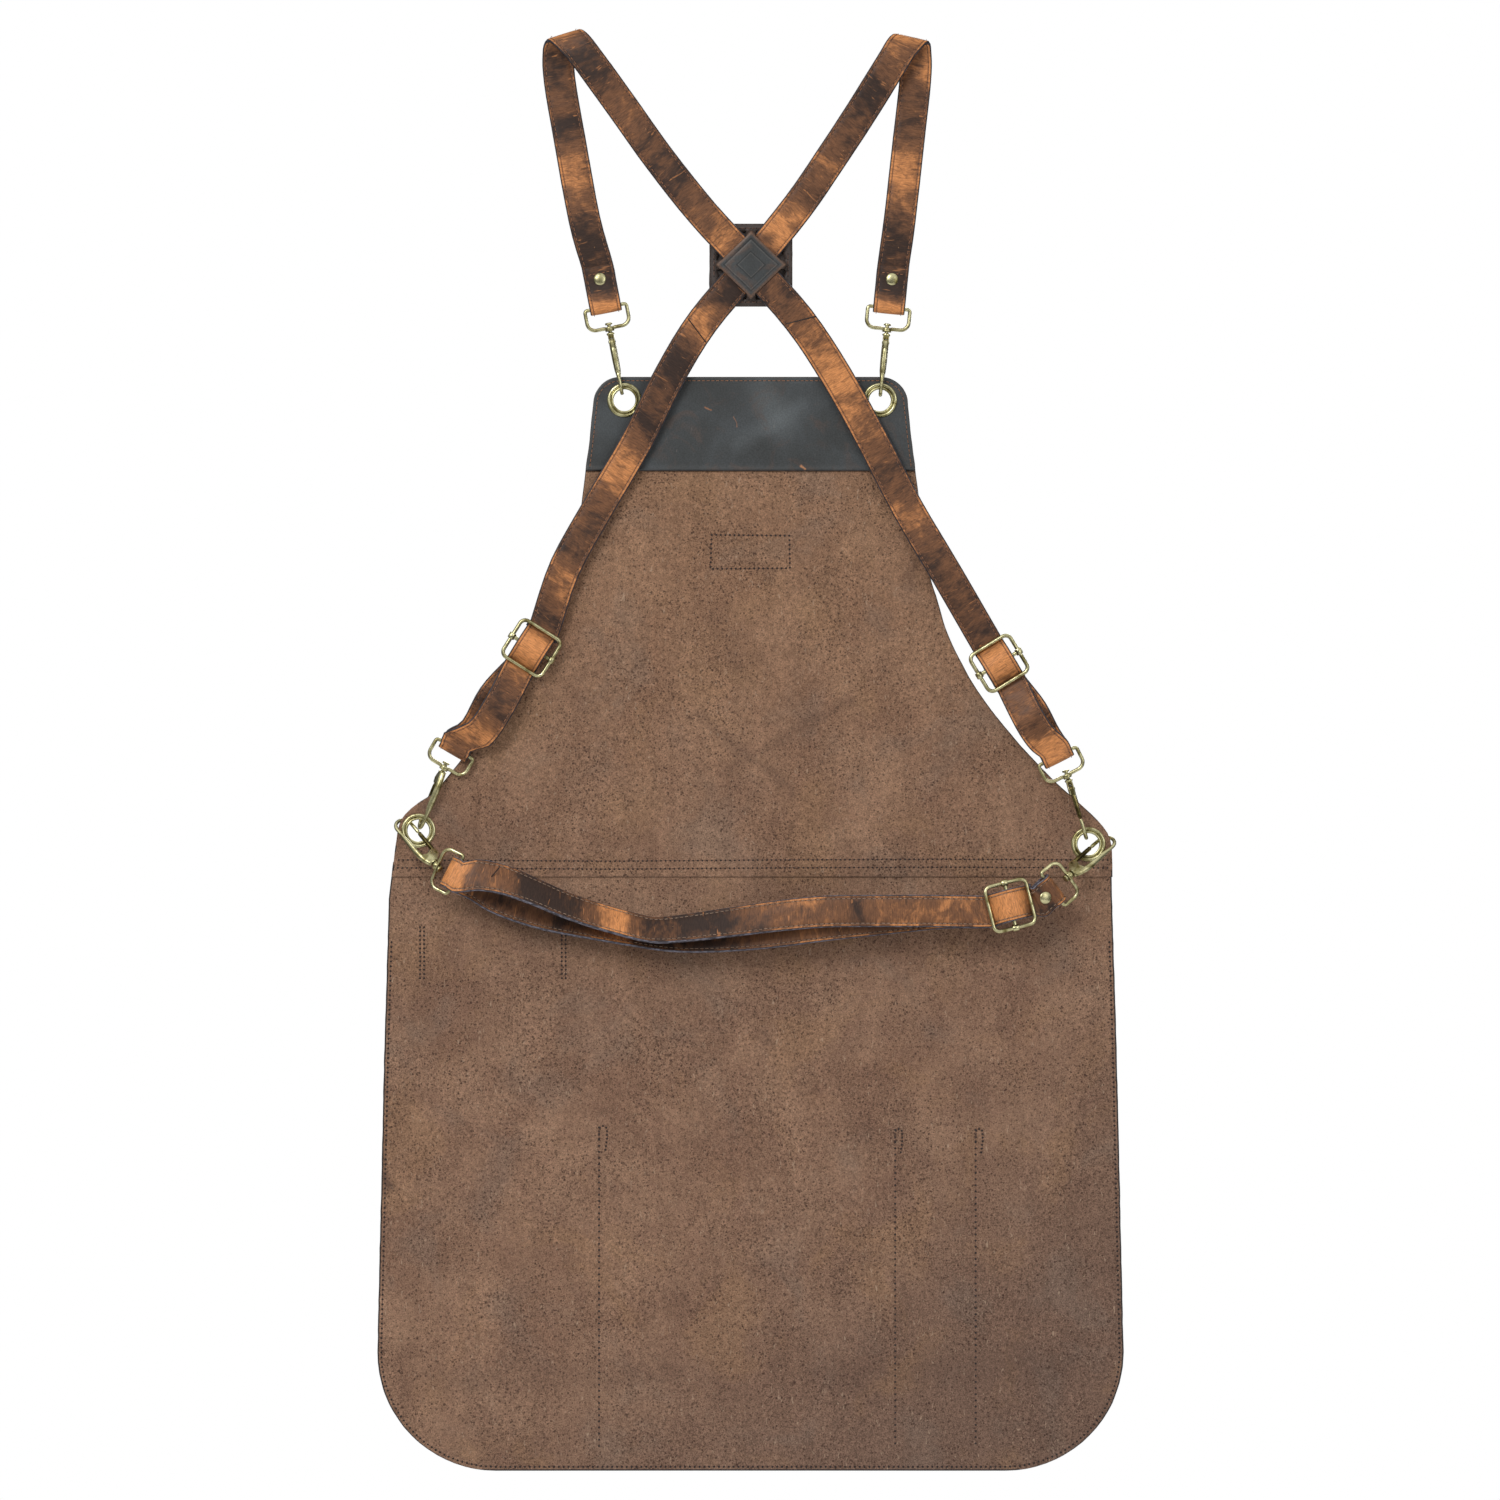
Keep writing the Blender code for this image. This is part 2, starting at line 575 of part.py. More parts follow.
# name: swivel point, direction to the bow, direction from spine to gate, and the eye's own
# direction to the hook and along its bar. The loose boss lets the eye lean up to 23 degrees.
HOOKS = {
    "bib_left": ((-113.2, -1.8, -238.3), (0.19, 0, -0.98), (0, -1, 0), (0.19, 0, -0.98), (0.98, 0, 0.19)),
    "bib_right": ((109.6, -1.8, -239.0), (-0.1, 0, -0.995), (0, -1, 0), (-0.1, 0, -0.995), (0.995, 0, -0.1)),
    "waist_left_upper": ((-246.2, -6.6, -591.0), (-0.38, 0.15, -0.913), (-0.2, 1, 0.1),
                         (-0.5, 0.08, -0.86), (0.86, 0, -0.5)),
    "waist_right_upper": ((254.5, -6.6, -597.5), (0.295, 0.085, -0.952), (0, -1, 0),
                          (0.45, 0.08, -0.89), (0.89, 0, 0.45)),
    "waist_left_lower": ((-251.9, -21.1, -669.2), (-0.58, 0.443, 0.683), (0.783, 0.534, 0.319),
                         (-0.86, 0.3, 0.42), (0.392, -0.145, 0.908)),
    "waist_right_lower": ((255.7, -22.5, -677.2), (0.661, 0.491, 0.567), (-0.735, 0.577, 0.357),
                          (0.75, 0.2, 0.63), (-0.6, -0.3, 0.81)),
}


def eye_frame(name, across=None):
    """The strap's frame at a hook's eye: its centre is the bar, and it runs away from the hook."""
    swivel, _, _, eye_along, bar = HOOKS[name]
    away = -Vector(eye_along).normalized()
    return Frame(Vector(swivel) + EYE_DEPTH * away, away, across or bar)


def make_straps():
    left_eye, right_eye = eye_frame("bib_left"), eye_frame("bib_right")
    slider_left = Frame((-175.8, -13.0, -494.6), (-0.534, 0.02, -0.846), (0.803, 0, -0.596))
    slider_right = Frame((199.6, -13.0, -506.9), (0.52, 0.02, -0.854), (0.84, 0, 0.53))
    # Front run up to the shoulder, over it, down across the back to the slider
    left_loop = [(-133.5, -1.6, -150, 0.98, 0, 0.19), (-145.3, -0.5, -86, 0.98, 0, 0.18),
                 (-153.5, 0.4, -38, 0.982, 0, 0.19), (-153.5, -0.6, -14, 0.974, 0, 0.225),
                 (-148.5, -5.5, -3.5, 0.965, 0, 0.26), (-139.5, -10.4, -11, 0.93, 0, 0.36),
                 (-127.5, -12.0, -26, 0.84, 0, 0.54), (-101.5, -12.0, -62, 0.79, 0, 0.61),
                 (-73, -12.8, -102, 0.79, 0, 0.61), (-38, CROSS_NEAR, -146, 0.79, 0, 0.62),
                 (0, CROSS_NEAR, -187, 0.75, 0, 0.66), (39, CROSS_NEAR, -231, 0.78, 0, 0.62),
                 (69, -10.5, -276, 0.85, 0, 0.53), (98, -9.0, -328, 0.87, 0, 0.49),
                 (126, -9.5, -382, 0.87, 0, 0.49), (158, -12.5, -436, 0.86, 0, 0.51)]
    right_loop = [(120, -1.6, -150, 0.99, 0, -0.12), (127.3, -0.5, -85, 0.99, 0, -0.12),
                  (132.5, 0.4, -38, 0.985, 0, -0.17), (133, -0.6, -16, 0.97, 0, -0.24),
                  (129, -5.5, -6, 0.95, 0, -0.3), (121, -10.2, -13, 0.91, 0, -0.42),
                  (111.5, -11.4, -28, 0.85, 0, -0.53), (88.5, -11.0, -65, 0.79, 0, -0.61),
                  (63.5, -10.8, -103, 0.79, 0, -0.61), (38, CROSS_FAR, -140, 0.78, 0, -0.63),
                  (0, CROSS_FAR, -187, 0.76, 0, -0.65), (-38, CROSS_FAR, -232, 0.78, 0, -0.62),
                  (-65, -10.5, -276, 0.85, 0, -0.53), (-91, -9.0, -328, 0.86, 0, -0.51),
                  (-122, -9.5, -381, 0.85, 0, -0.52), (-149, -11.8, -430, 0.84, 0, -0.54)]
    far_left = {"out": [(-200, -19, -538, 0.86, 0.1, -0.5), (-216, -18.5, -562, 0.8, 0.05, -0.58)],
                "back": [(-221, -7.5, -560, 0.8, 0.1, -0.58), (-206, -10.5, -533, 0.86, 0.1, -0.5)]}
    far_right = {"out": [(221.5, -19, -548, 0.86, -0.1, 0.5), (232, -17.5, -565, 0.8, -0.05, 0.58)],
                 "back": [(236, -7.5, -564, 0.8, -0.1, 0.58), (226, -10.5, -545, 0.86, -0.1, 0.5)]}
    runs = {
        "left": (left_eye, left_loop, slider_right, eye_frame("waist_right_upper"), far_right),
        "right": (right_eye, right_loop, slider_left, eye_frame("waist_left_upper"), far_left),
    }
    for side, (eye, loop, slider, far_eye, far) in runs.items():
        strap = strap_mesh(f"shoulder_strap_{side}", shoulder_stations(eye, loop, slider, far_eye, far))
        rivet_hole(strap, (23, 0), eye)
        make_rivet(f"rivet_bib_{side}", (23, 0), eye, 3.3)
    make_slider("shoulder_left", slider_left)
    make_slider("shoulder_right", slider_right)
    make_waist_strap()


def make_waist_strap():
    """The waist strap: riveted to the right eye, through the slider, round the left eye and back."""
    right_eye = eye_frame("waist_right_lower")
    left_eye = eye_frame("waist_left_lower", (0.36, 0.08, 0.92))
    slider = Frame((208.0, -35.0, -701.0), (-0.96, -0.1, -0.24), (-0.247, 0.05, 0.969))
    front = [(150, -36.5, -705.5, 0, 0.05, 1), (104, -36, -705.5, 0, 0.1, 1), (60, -35, -706, 0, 0.15, 1),
             (22, -34.5, -709.5, 0, 0.3, 0.95), (-8, -34, -713.5, 0, 0.42, 0.9),
             (-46, -33.5, -718.5, 0, 0.55, 0.83), (-74, -33, -721, 0, 0.62, 0.78),
             (-92, -33, -718, 0, 0.62, 0.78), (-126, -33, -708.5, 0, 0.62, 0.78),
             (-150, -34.5, -700, 0.05, 0.62, 0.78), (-173, -36.5, -690, 0.1, 0.58, 0.8),
             (-196, -38, -681, 0.15, 0.45, 0.86), (-216, -37.5, -677, 0.25, 0.25, 0.93)]
    behind = [(-220, -18.5, -685, 0.35, 0.2, 0.9), (-205, -16.5, -695, 0.25, 0.35, 0.88),
              (-185, -16.5, -703.5, 0.15, 0.45, 0.87), (-155, -17.5, -712, 0, 0.5, 0.86),
              (-92, -20, -723, 0, 0.5, 0.86), (-64, -20.5, -727, 0, 0.5, 0.86),
              (-34, -21.5, -727, 0, 0.4, 0.92),
              (8, -23, -724, 0, 0.3, 0.95), (60, -24.5, -717, 0, 0.15, 1), (110, -26, -711.5, 0, 0.05, 1),
              (155, -27, -707, 0, 0.05, 1)]
    out = [right_eye.at(14, -1.75), right_eye.at(8, -1.9), right_eye.at(5, -2.5), right_eye.at(2.5, 0.1 - FOLD)]
    out += fold_round(right_eye, FOLD, -1)
    out += [right_eye.at(2.5, FOLD - 0.1), right_eye.at(5, 2.5), right_eye.at(8, 1.9), right_eye.at(14, 1.75)]
    out += slider_pass(slider) + front
    out += [left_eye.at(6, LOOSE_FOLD)] + fold_round(left_eye, LOOSE_FOLD, 1) + [left_eye.at(6, -LOOSE_FOLD)]
    out += behind + slider_return(slider)
    strap = strap_mesh("waist_strap", out)
    rivet_hole(strap, (9.5, 0), right_eye)
    make_rivet("rivet_waist", (9.5, 0), right_eye, 4.0)
    make_slider("waist", slider)


# --- Crossing patch -----------------------------------------------------------------------


def make_patch():
    """A backing square, and a front square whose middle diamond stands over the crossed straps."""
    x, z = PATCH_CENTRE
    half = PATCH_SIDE / 2
    square = [(x - half, z - half), (x - half, z + half), (x + half, z + half), (x + half, z - half)]
    wide, high = DIAMOND
    diamond = [(x - wide, z), (x, z + high), (x + wide, z), (x, z - high)]
    outline("patch_back", [square], PATCH_SHEET, LEATHER_DARK, PATCH_BACK_Y)
    rim = as_mesh(outline("patch_front", [square, diamond[::-1]], PATCH_SHEET, LEATHER_DARK, PATCH_RIM_Y))
    front = as_mesh(outline("diamond", [diamond], PATCH_SHEET, LEATHER_DARK, PATCH_FRONT_Y))
    raised = cutter("patch_diamond", detached_mesh(front, "patch_diamond"))
    raised.matrix_world = facing_viewer(0, PATCH_FRONT_Y, 0)
    combine(rim, raised, "UNION")
    neck, wall = 3.0, 1.1
    low, high_y = PATCH_FRONT_Y - 0.6, PATCH_RIM_Y + 0.6
    for side in (-1, 1):
        for index, (cx, cz, rx, rz) in enumerate(((x + side * (wide - 1.4), z, wall, neck),
                                                  (x, z + side * (high + 0.2), neck, wall))):
            neck_box = cutter_box(f"neck_{side}_{index}", (cx - rx, low, cz - rz), (cx + rx, high_y, cz + rz))
            combine(rim, neck_box, "UNION")
    rim.data.materials.clear()
    rim.data.materials.append(material(LEATHER_DARK))


def build():
    make_panels()
    make_pocket_panel()
    make_tool_loop()
    make_grommets()
    make_patch()
    meshes = hook_meshes()
    for name, place in HOOKS.items():
        make_hook(name, meshes, *place)
    make_straps()


build()
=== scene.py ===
"""The looks of a cross-back leather welding apron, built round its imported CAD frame.

Lengths are millimetres and MM turns them into metres. Panels lie in the XZ plane: the inside
(suede) face looks along -Y, and the grain face, with the pockets, along +Y.
"""

import json
import math

import bmesh
import bpy
from mathutils import Matrix, Vector, noise

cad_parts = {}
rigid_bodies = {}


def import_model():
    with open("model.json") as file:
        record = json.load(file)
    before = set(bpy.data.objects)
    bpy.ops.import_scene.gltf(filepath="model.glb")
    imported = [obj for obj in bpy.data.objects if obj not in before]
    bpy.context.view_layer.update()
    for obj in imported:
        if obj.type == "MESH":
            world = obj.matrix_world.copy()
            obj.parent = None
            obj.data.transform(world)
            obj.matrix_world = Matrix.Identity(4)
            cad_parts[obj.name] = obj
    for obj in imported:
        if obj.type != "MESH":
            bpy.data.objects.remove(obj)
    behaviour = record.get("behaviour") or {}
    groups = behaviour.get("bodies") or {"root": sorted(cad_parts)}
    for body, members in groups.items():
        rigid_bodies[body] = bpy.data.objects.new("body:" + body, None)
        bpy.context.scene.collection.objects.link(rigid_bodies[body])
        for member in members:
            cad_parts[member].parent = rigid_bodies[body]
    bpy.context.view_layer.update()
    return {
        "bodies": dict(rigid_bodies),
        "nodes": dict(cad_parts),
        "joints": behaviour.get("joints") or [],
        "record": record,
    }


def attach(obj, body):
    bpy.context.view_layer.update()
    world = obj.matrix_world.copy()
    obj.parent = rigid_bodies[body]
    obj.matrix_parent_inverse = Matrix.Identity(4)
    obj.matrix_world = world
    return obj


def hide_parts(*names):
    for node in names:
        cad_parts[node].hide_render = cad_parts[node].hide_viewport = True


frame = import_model()
MM = 0.001

# Panels
BIB_TOP, BIB_TOP_HALF, BIB_CORNER = -276.6, 126.5, 22.0
LAP_TOP, LAP_BOTTOM = -666.5, -678.6
HEM, HEM_HALF, HEM_CORNER = -1156.0, 300.0, 95.0
HEM_CORNER_TOP = HEM + HEM_CORNER
FACING_BOTTOM = -352.4
ARMHOLE_RIGHT = [(129.5, -327), (132, -347), (142.5, -427), (149.5, -453.5), (158.5, -483), (174, -514.5),
                 (190, -539.5), (210, -564.5), (227, -583.5), (246, -603), (266.5, -621), (283.5, -638),
                 (289.8, -650.5), (291, -668)]
ARMHOLE_LEFT = [(129.5, -327), (132, -347), (142.5, -427), (149.5, -453.5), (158.5, -480), (174, -510),
                (190, -534.5), (210, -559), (227, -577.5), (246, -601), (257, -612.6), (267.3, -619),
                (277.4, -628), (282.6, -636.5), (285.6, -655.3), (287.4, -670.5)]
SIDE_BELOW_WAIST = [(290, LAP_TOP), (291.5, -722), (294.5, -818), (297.5, -950), (HEM_HALF, HEM_CORNER_TOP)]
POCKET_TOP, POCKET_SEAMS, POCKET_BULGE, POCKET_Y = -882.0, (-122.0, 117.6, 182.0), 9.0, 3.9
TOOL_LOOP_X, TOOL_LOOP_Z, TOOL_LOOP_HEIGHT, TOOL_LOOP_RISE = (-270.0, -144.0), -739.5, 41.0, 13.0
TOOL_LOOP_SEAMS = (-265.6, -262.4, -151.8, -148.6)
LABEL_HALF, LABEL_Z = (34.0, 16.5), -417.0
BIB_FRONT, BIB_BACK, SKIRT_FRONT, SKIRT_BACK = -2.0, 0.0, 0.3, 2.3

# Grommets
GROMMETS = {"bib_left": (-101.3, -295.3, -3.6, 3.6), "bib_right": (104.0, -295.4, -3.6, 3.6),
            "waist_left": (-267.0, -641.3, -2.0, 2.0), "waist_right": (271.6, -652.2, -2.0, 2.0)}
GROMMET_HOLE, GROMMET_BARREL, LEATHER_HOLE = 8.75, 9.3, 9.6

# Straps, patch, sliders
HALF_WIDTH, STITCH_INSET, STITCH_PITCH = 12.85, 2.9, 4.1
FOLD, FAR_FOLD, LOOSE_FOLD = 3.3, 3.9, 6.6
PATCH_CENTRE, PATCH_HALF, DIAMOND = (0.4, -187.0), 33.3, (27.5, 26.5)
CROSS_NEAR, CROSS_FAR = -13.9, -10.5
SLIDER_ACROSS, SLIDER_ALONG, SLIDER_WIRE = 37.0, 34.0, 1.6

# Snap hooks: X runs from the swivel to the bow, Y from the spine to the gate. Each has its swivel's place,
# its X, its Y, and its eye's own X and Y
BOW_WIRE, RING_HALF, BOW_START, NOSE_END = 1.48, 7.2, 45.1, 35.6
PIVOT, HEAD_THICK, SLOT = (10.5, 6.0), 5.0, 3.0
EYE_HALF, EYE_DEPTH, EYE_WIRE, BORE, POST = 17.0, 18.0, 1.5, 2.6, 1.5
HOOKS = {
    "bib_left": ((-113.2, -1.8, -238.3), (0.19, 0, -0.98), (0, -1, 0), (0.19, 0, -0.98), (0.98, 0, 0.19)),
    "bib_right": ((109.6, -1.8, -239.0), (-0.1, 0, -0.995), (0, -1, 0), (-0.1, 0, -0.995), (0.995, 0, -0.1)),
    "waist_left_upper": ((-246.2, -6.6, -591.0), (-0.38, 0.15, -0.913), (-0.2, 1, 0.1),
                         (-0.5, 0.08, -0.86), (0.86, 0, -0.5)),
    "waist_right_upper": ((254.5, -6.6, -597.5), (0.295, 0.085, -0.952), (0, -1, 0),
                          (0.45, 0.08, -0.89), (0.89, 0, 0.45)),
    "waist_left_lower": ((-251.9, -21.1, -669.2), (-0.58, 0.443, 0.683), (0.783, 0.534, 0.319),
                         (-0.86, 0.3, 0.42), (0.392, -0.145, 0.908)),
    "waist_right_lower": ((255.7, -22.5, -677.2), (0.661, 0.491, 0.567), (-0.735, 0.577, 0.357),
                          (0.75, 0.2, 0.63), (-0.6, -0.3, 0.81)),
}


# --- Materials ----------------------------------------------------------------------------


def rgb(red, green, blue):
    """A colour from its 0 to 255 display values."""
    linear = [c / 255 / 12.92 if c < 10 else ((c / 255 + 0.055) / 1.055) ** 2.4 for c in (red, green, blue)]
    return (*linear, 1)


class Look:
    """A node material whose colour is built up in layers. Value methods return a node's output."""

    def __init__(self, name, roughness, **constants):
        self.material = bpy.data.materials.new(name)
        self.material.use_nodes = True
        self.tree = self.material.node_tree
        self.shader = self.tree.nodes["Principled BSDF"]
        for key, value in {"Roughness": roughness, **constants}.items():
            self.shader.inputs[key.replace("_", " ")].default_value = value
        self.place = self.node("TexCoord").outputs["Object"]
        self.colour = None

    def node(self, kind, *values, **settings):
        """A new node with its settings, and values or links for its first sockets."""
        made = self.tree.nodes.new("ShaderNode" + kind)
        for key, value in settings.items():
            setattr(made, key, value)
        for socket, value in zip(made.inputs, values):
            self.put(socket, value)
        return made

    def put(self, socket, value):
        if isinstance(value, bpy.types.NodeSocket):
            self.tree.links.new(value, socket)
        else:
            socket.default_value = value

    def math(self, operation, a, b=0.0, clamp=False):
        return self.node("Math", a, b, operation=operation, use_clamp=clamp).outputs[0]

    def vector(self, operation, a, b=(0, 0, 0)):
        made = self.node("VectorMath", a, b, operation=operation)
        return made.outputs["Value" if operation in ("DOT_PRODUCT", "LENGTH") else "Vector"]

    def axis(self, vector, index):
        return self.node("SeparateXYZ", vector).outputs[index]

    def noise(self, scale, detail=3.0, rough=0.55, stretch=None, at=None, warp=0.0):
        where = self.place if at is None else at
        made = self.node("TexNoise", self.vector("MULTIPLY", where, stretch) if stretch else where)
        for key, value in (("Scale", scale), ("Detail", detail), ("Roughness", rough), ("Distortion", warp)):
            made.inputs[key].default_value = value
        return made.outputs[0]

    def ramp(self, value, low=0.3, high=0.7, start=0.0, end=1.0):
        made = self.node("MapRange", value, low, high, start, end, interpolation_type="SMOOTHSTEP")
        return made.outputs[0]

    def mix(self, share, a, b, blend="MIX"):
        made = self.node("Mix", share, data_type="RGBA", blend_type=blend)
        self.put(made.inputs[6], a)
        self.put(made.inputs[7], b)
        return made.outputs[2]

    # Mixes a tint into the colour: real stains and wear, and the painted shade and highlight of the patch's
    # tooled lines.
    def stain_and_painted_light(self, tint, share):
        self.colour = self.mix(share, self.colour, tint)

    def shade(self, value, darkest, lightest):
        """Makes the colour darker or lighter by a value from 0 to 1."""
        level = self.ramp(value, 0.0, 1.0, darkest, lightest)
        grey = self.node("CombineColor", level, level, level).outputs[0]
        self.colour = self.mix(1.0, self.colour, grey, "MULTIPLY")

    def marks(self, strokes, wobble):
        """Tints along lines of the XZ plane: stains and scuffs, and on the patch the painted shade and
        highlight of its tooled lines. A stroke is (start, end, width, share, tint).
        """
        flat = self.vector("ADD", self.vector("MULTIPLY", self.place, (1, 0, 1)), wobble)
        for start, end, width, share, tint in strokes:
            a, b = (Vector((x, 0, z)) * MM for x, z in (start, end))
            away = self.vector("SUBTRACT", flat, tuple(a))
            run = self.vector("DOT_PRODUCT", away, tuple(b - a))
            foot = self.node("VectorMath", b - a, operation="SCALE")
            self.put(foot.inputs["Scale"], self.math("DIVIDE", run, (b - a).length_squared, True))
            distance = self.vector("LENGTH", self.vector("SUBTRACT", away, foot.outputs[0]))
            near = self.ramp(distance, 0.0, width * MM, 1.0, 0.0)
            self.stain_and_painted_light(tint, self.math("MULTIPLY", near, share))

    def wobble(self, scale, reach):
        """A wandering offset in the XZ plane, up to half of reach mm each way."""
        centred = self.vector("SUBTRACT", self.noise(scale, 2), (0.5, 0.5, 0.5))
        return self.vector("MULTIPLY", centred, (reach * MM, 0, reach * MM))

    def finish(self, *bumps, roughness=None):
        """The material, with bump from layers of (height, strength, depth in mm)."""
        for height, strength, depth in bumps:
            made = self.node("Bump")
            for key, value in (("Height", height), ("Strength", strength), ("Distance", depth * MM)):
                self.put(made.inputs[key], value)
            if self.shader.inputs["Normal"].is_linked:
                self.put(made.inputs["Normal"], self.shader.inputs["Normal"].links[0].from_socket)
            self.put(self.shader.inputs["Normal"], made.outputs[0])
        self.put(self.shader.inputs["Base Color"], self.colour)
        if roughness is not None:
            self.put(self.shader.inputs["Roughness"], roughness)
        return self.material


SMUDGES = (((-42, -552), (36, -610), 9, 0.3), ((80, -536), (-20, -594), 8, 0.26),
           ((-2, -424), (16, -440), 7, 0.22), ((130, -425), (128, -446), 9, 0.35),
           ((-296, -903), (-294, -930), 7, 0.7), ((-30, -470), (-2, -520), 14, 0.15),
           ((10, -805), (14, -812), 9, 0.35), ((-250, -1085), (-60, -1078), 22, 0.2),
           ((60, -1080), (250, -1070), 26, 0.2))


def suede():
    look = Look("suede_nap", 0.95, Sheen_Weight=0.12, Sheen_Roughness=0.5, Specular_IOR_Level=0.2)
    blotch = look.ramp(look.noise(15, 6, 0.65, warp=0.3))
    look.colour = look.mix(blotch, rgb(116, 88, 71), rgb(139, 109, 88))
    look.stain_and_painted_light(rgb(112, 84, 70), look.ramp(look.noise(48, 5, 0.65), 0.45, 0.72, 0, 0.4))
    look.stain_and_painted_light(rgb(141, 106, 78), look.ramp(look.axis(look.place, 2), -0.8, -0.35, 0, 0.4))
    to_corner = look.vector("DOT_PRODUCT", look.place, (0.55, 0, -0.83))
    look.stain_and_painted_light(rgb(106, 83, 70), look.ramp(to_corner, 0.74, 1.05))
    hue = look.noise(13, 4, 0.6, warp=0.5)
    look.stain_and_painted_light(rgb(110, 98, 88), look.ramp(hue, 0.52, 0.68, 0, 0.26))
    look.stain_and_painted_light(rgb(138, 106, 78), look.ramp(hue, 0.48, 0.34, 0, 0.34))
    look.shade(look.ramp(look.noise(60, 4, 0.65, stretch=(1, 1, 0.2))), 0.95, 1.06)
    look.shade(look.ramp(look.noise(290, 4, 0.7), 0.32, 0.68), 0.86, 1.13)
    look.shade(look.ramp(look.noise(950, 3, 0.7)), 0.72, 1.3)
    grouping = look.noise(20, 4)
    crowd = look.ramp(grouping, 0.35, 0.65, 0.655, 0.59)
    crowding = look.ramp(grouping, 0.3, 0.6, 0.45, 1.0)
    for scale, share in ((430, 0.55), (760, 0.5)):
        specks = look.math("GREATER_THAN", look.noise(scale, 3, 0.55), crowd)
        look.stain_and_painted_light(rgb(66, 46, 37), look.math("MULTIPLY", specks, share))
    for scale, radius, share in ((260, 0.18, 0.8), (420, 0.19, 0.6)):
        pore = look.node("TexVoronoi", look.place, feature="F1")
        pore.inputs["Scale"].default_value = scale
        dot = look.ramp(pore.outputs["Distance"], radius, radius + 0.07, share, 0.0)
        look.stain_and_painted_light(rgb(58, 40, 33), look.math("MULTIPLY", dot, crowding))
    fibre = look.noise(520, 2, 0.5, stretch=(1, 1, 0.35), warp=1.2)
    look.stain_and_painted_light(rgb(164, 140, 118), look.ramp(fibre, 0.66, 0.72, 0.0, 0.6))
    look.marks([(*smudge, rgb(74, 56, 48)) for smudge in SMUDGES], look.wobble(38, 24))
    return look.finish((look.noise(700, 4, 0.7), 0.55, 0.5), (look.noise(60, 3), 0.25, 1.2))


def pull_up(name, dark, middle, light, route=False):
    """Waxed leather that lightens where it is worn or bent. On straps its tone attribute also carries painted
    highlight on the humps over slider bars and the folds round eyes. Route is (length, across, side).
    """
    look = Look(name, 0.5, Specular_IOR_Level=0.24)
    at = look.node("Attribute", attribute_name="route").outputs["Vector"] if route else look.place
    cloud = look.noise(30, 5, 0.65, at=at, stretch=(1, 0.8, 1), warp=0.6)
    fine = look.noise(120, 5, 0.7, at=at, stretch=(1, 0.4, 1), warp=0.8)
    tone = look.math("ADD", look.ramp(cloud, 0.3, 0.7, -0.34, 0.28), look.ramp(fine, 0.3, 0.7, -0.2, 0.2))
    if route:
        # The tone attribute holds the strap's own patches and painted highlight on the slider humps and eye
        # folds.
        tone = look.math("ADD", tone, look.node("Attribute", attribute_name="tone").outputs["Fac"])
        across = look.math("ABSOLUTE", look.axis(at, 1))
        worn = look.math("MULTIPLY", look.ramp(across, 0.0102, 0.0116), look.ramp(fine, 0.35, 0.65, 0.0, 0.5))
        tone = look.math("ADD", tone, worn)
    look.colour = look.mix(look.ramp(tone, -0.6, 0.05), dark, middle)
    look.stain_and_painted_light(light, look.ramp(tone, 0.05, 0.75))

    def grain(on_strap, elsewhere, detail, rough, warp):
        return look.noise(1.0, detail, rough, at=at, stretch=on_strap if route else elsewhere, warp=warp)

    wrinkle = grain((1000, 170, 1000), (600, 600, 600), 4, 0.65, 0.6)
    look.shade(look.ramp(wrinkle), 0.78, 1.2)
    crease = grain((300, 45, 300), (90, 90, 300), 2, 0.5, 0.9)
    off_crease = look.math("ABSOLUTE", look.math("SUBTRACT", crease, 0.5))
    look.stain_and_painted_light(dark, look.ramp(off_crease, 0.0, 0.02, 0.5, 0.0))
    look.stain_and_painted_light(light, look.ramp(grain((420, 60, 420), (90, 90, 420), 2, 0.5, 0.8), 0.67, 0.74, 0.0, 0.5))
    nick = look.noise(1.0, 1, 0.5, at=at, stretch=(240, 700, 240), warp=0.3)
    look.stain_and_painted_light(rgb(190, 140, 96), look.ramp(nick, 0.8, 0.84, 0.0, 0.7))
    if route:
        look.stain_and_painted_light(rgb(40, 31, 29), look.ramp(across, 0.0115, 0.0122))
        off_channel = look.math("ABSOLUTE", look.math("SUBTRACT", across, 0.00995))
        look.stain_and_painted_light(rgb(50, 36, 30), look.ramp(off_channel, 0.0, 0.0008, 0.75, 0.0))
    return look.finish((wrinkle, 0.45, 0.25), (look.noise(2400, 2, at=at), 0.2, 0.08),
                       roughness=look.ramp(fine, 0.3, 0.7, 0.42, 0.64))


def diamond_lines(ring, width, share, tint):
    """The four sides of a diamond inside the patch's own, as strokes."""
    (cx, cz), (wide, high) = PATCH_CENTRE, DIAMOND
    corners = [(cx, cz + high * ring), (cx + wide * ring, cz), (cx, cz - high * ring), (cx - wide * ring, cz)]
    return [(a, b, width, share, tint) for a, b in zip(corners, corners[1:] + corners[:1])]


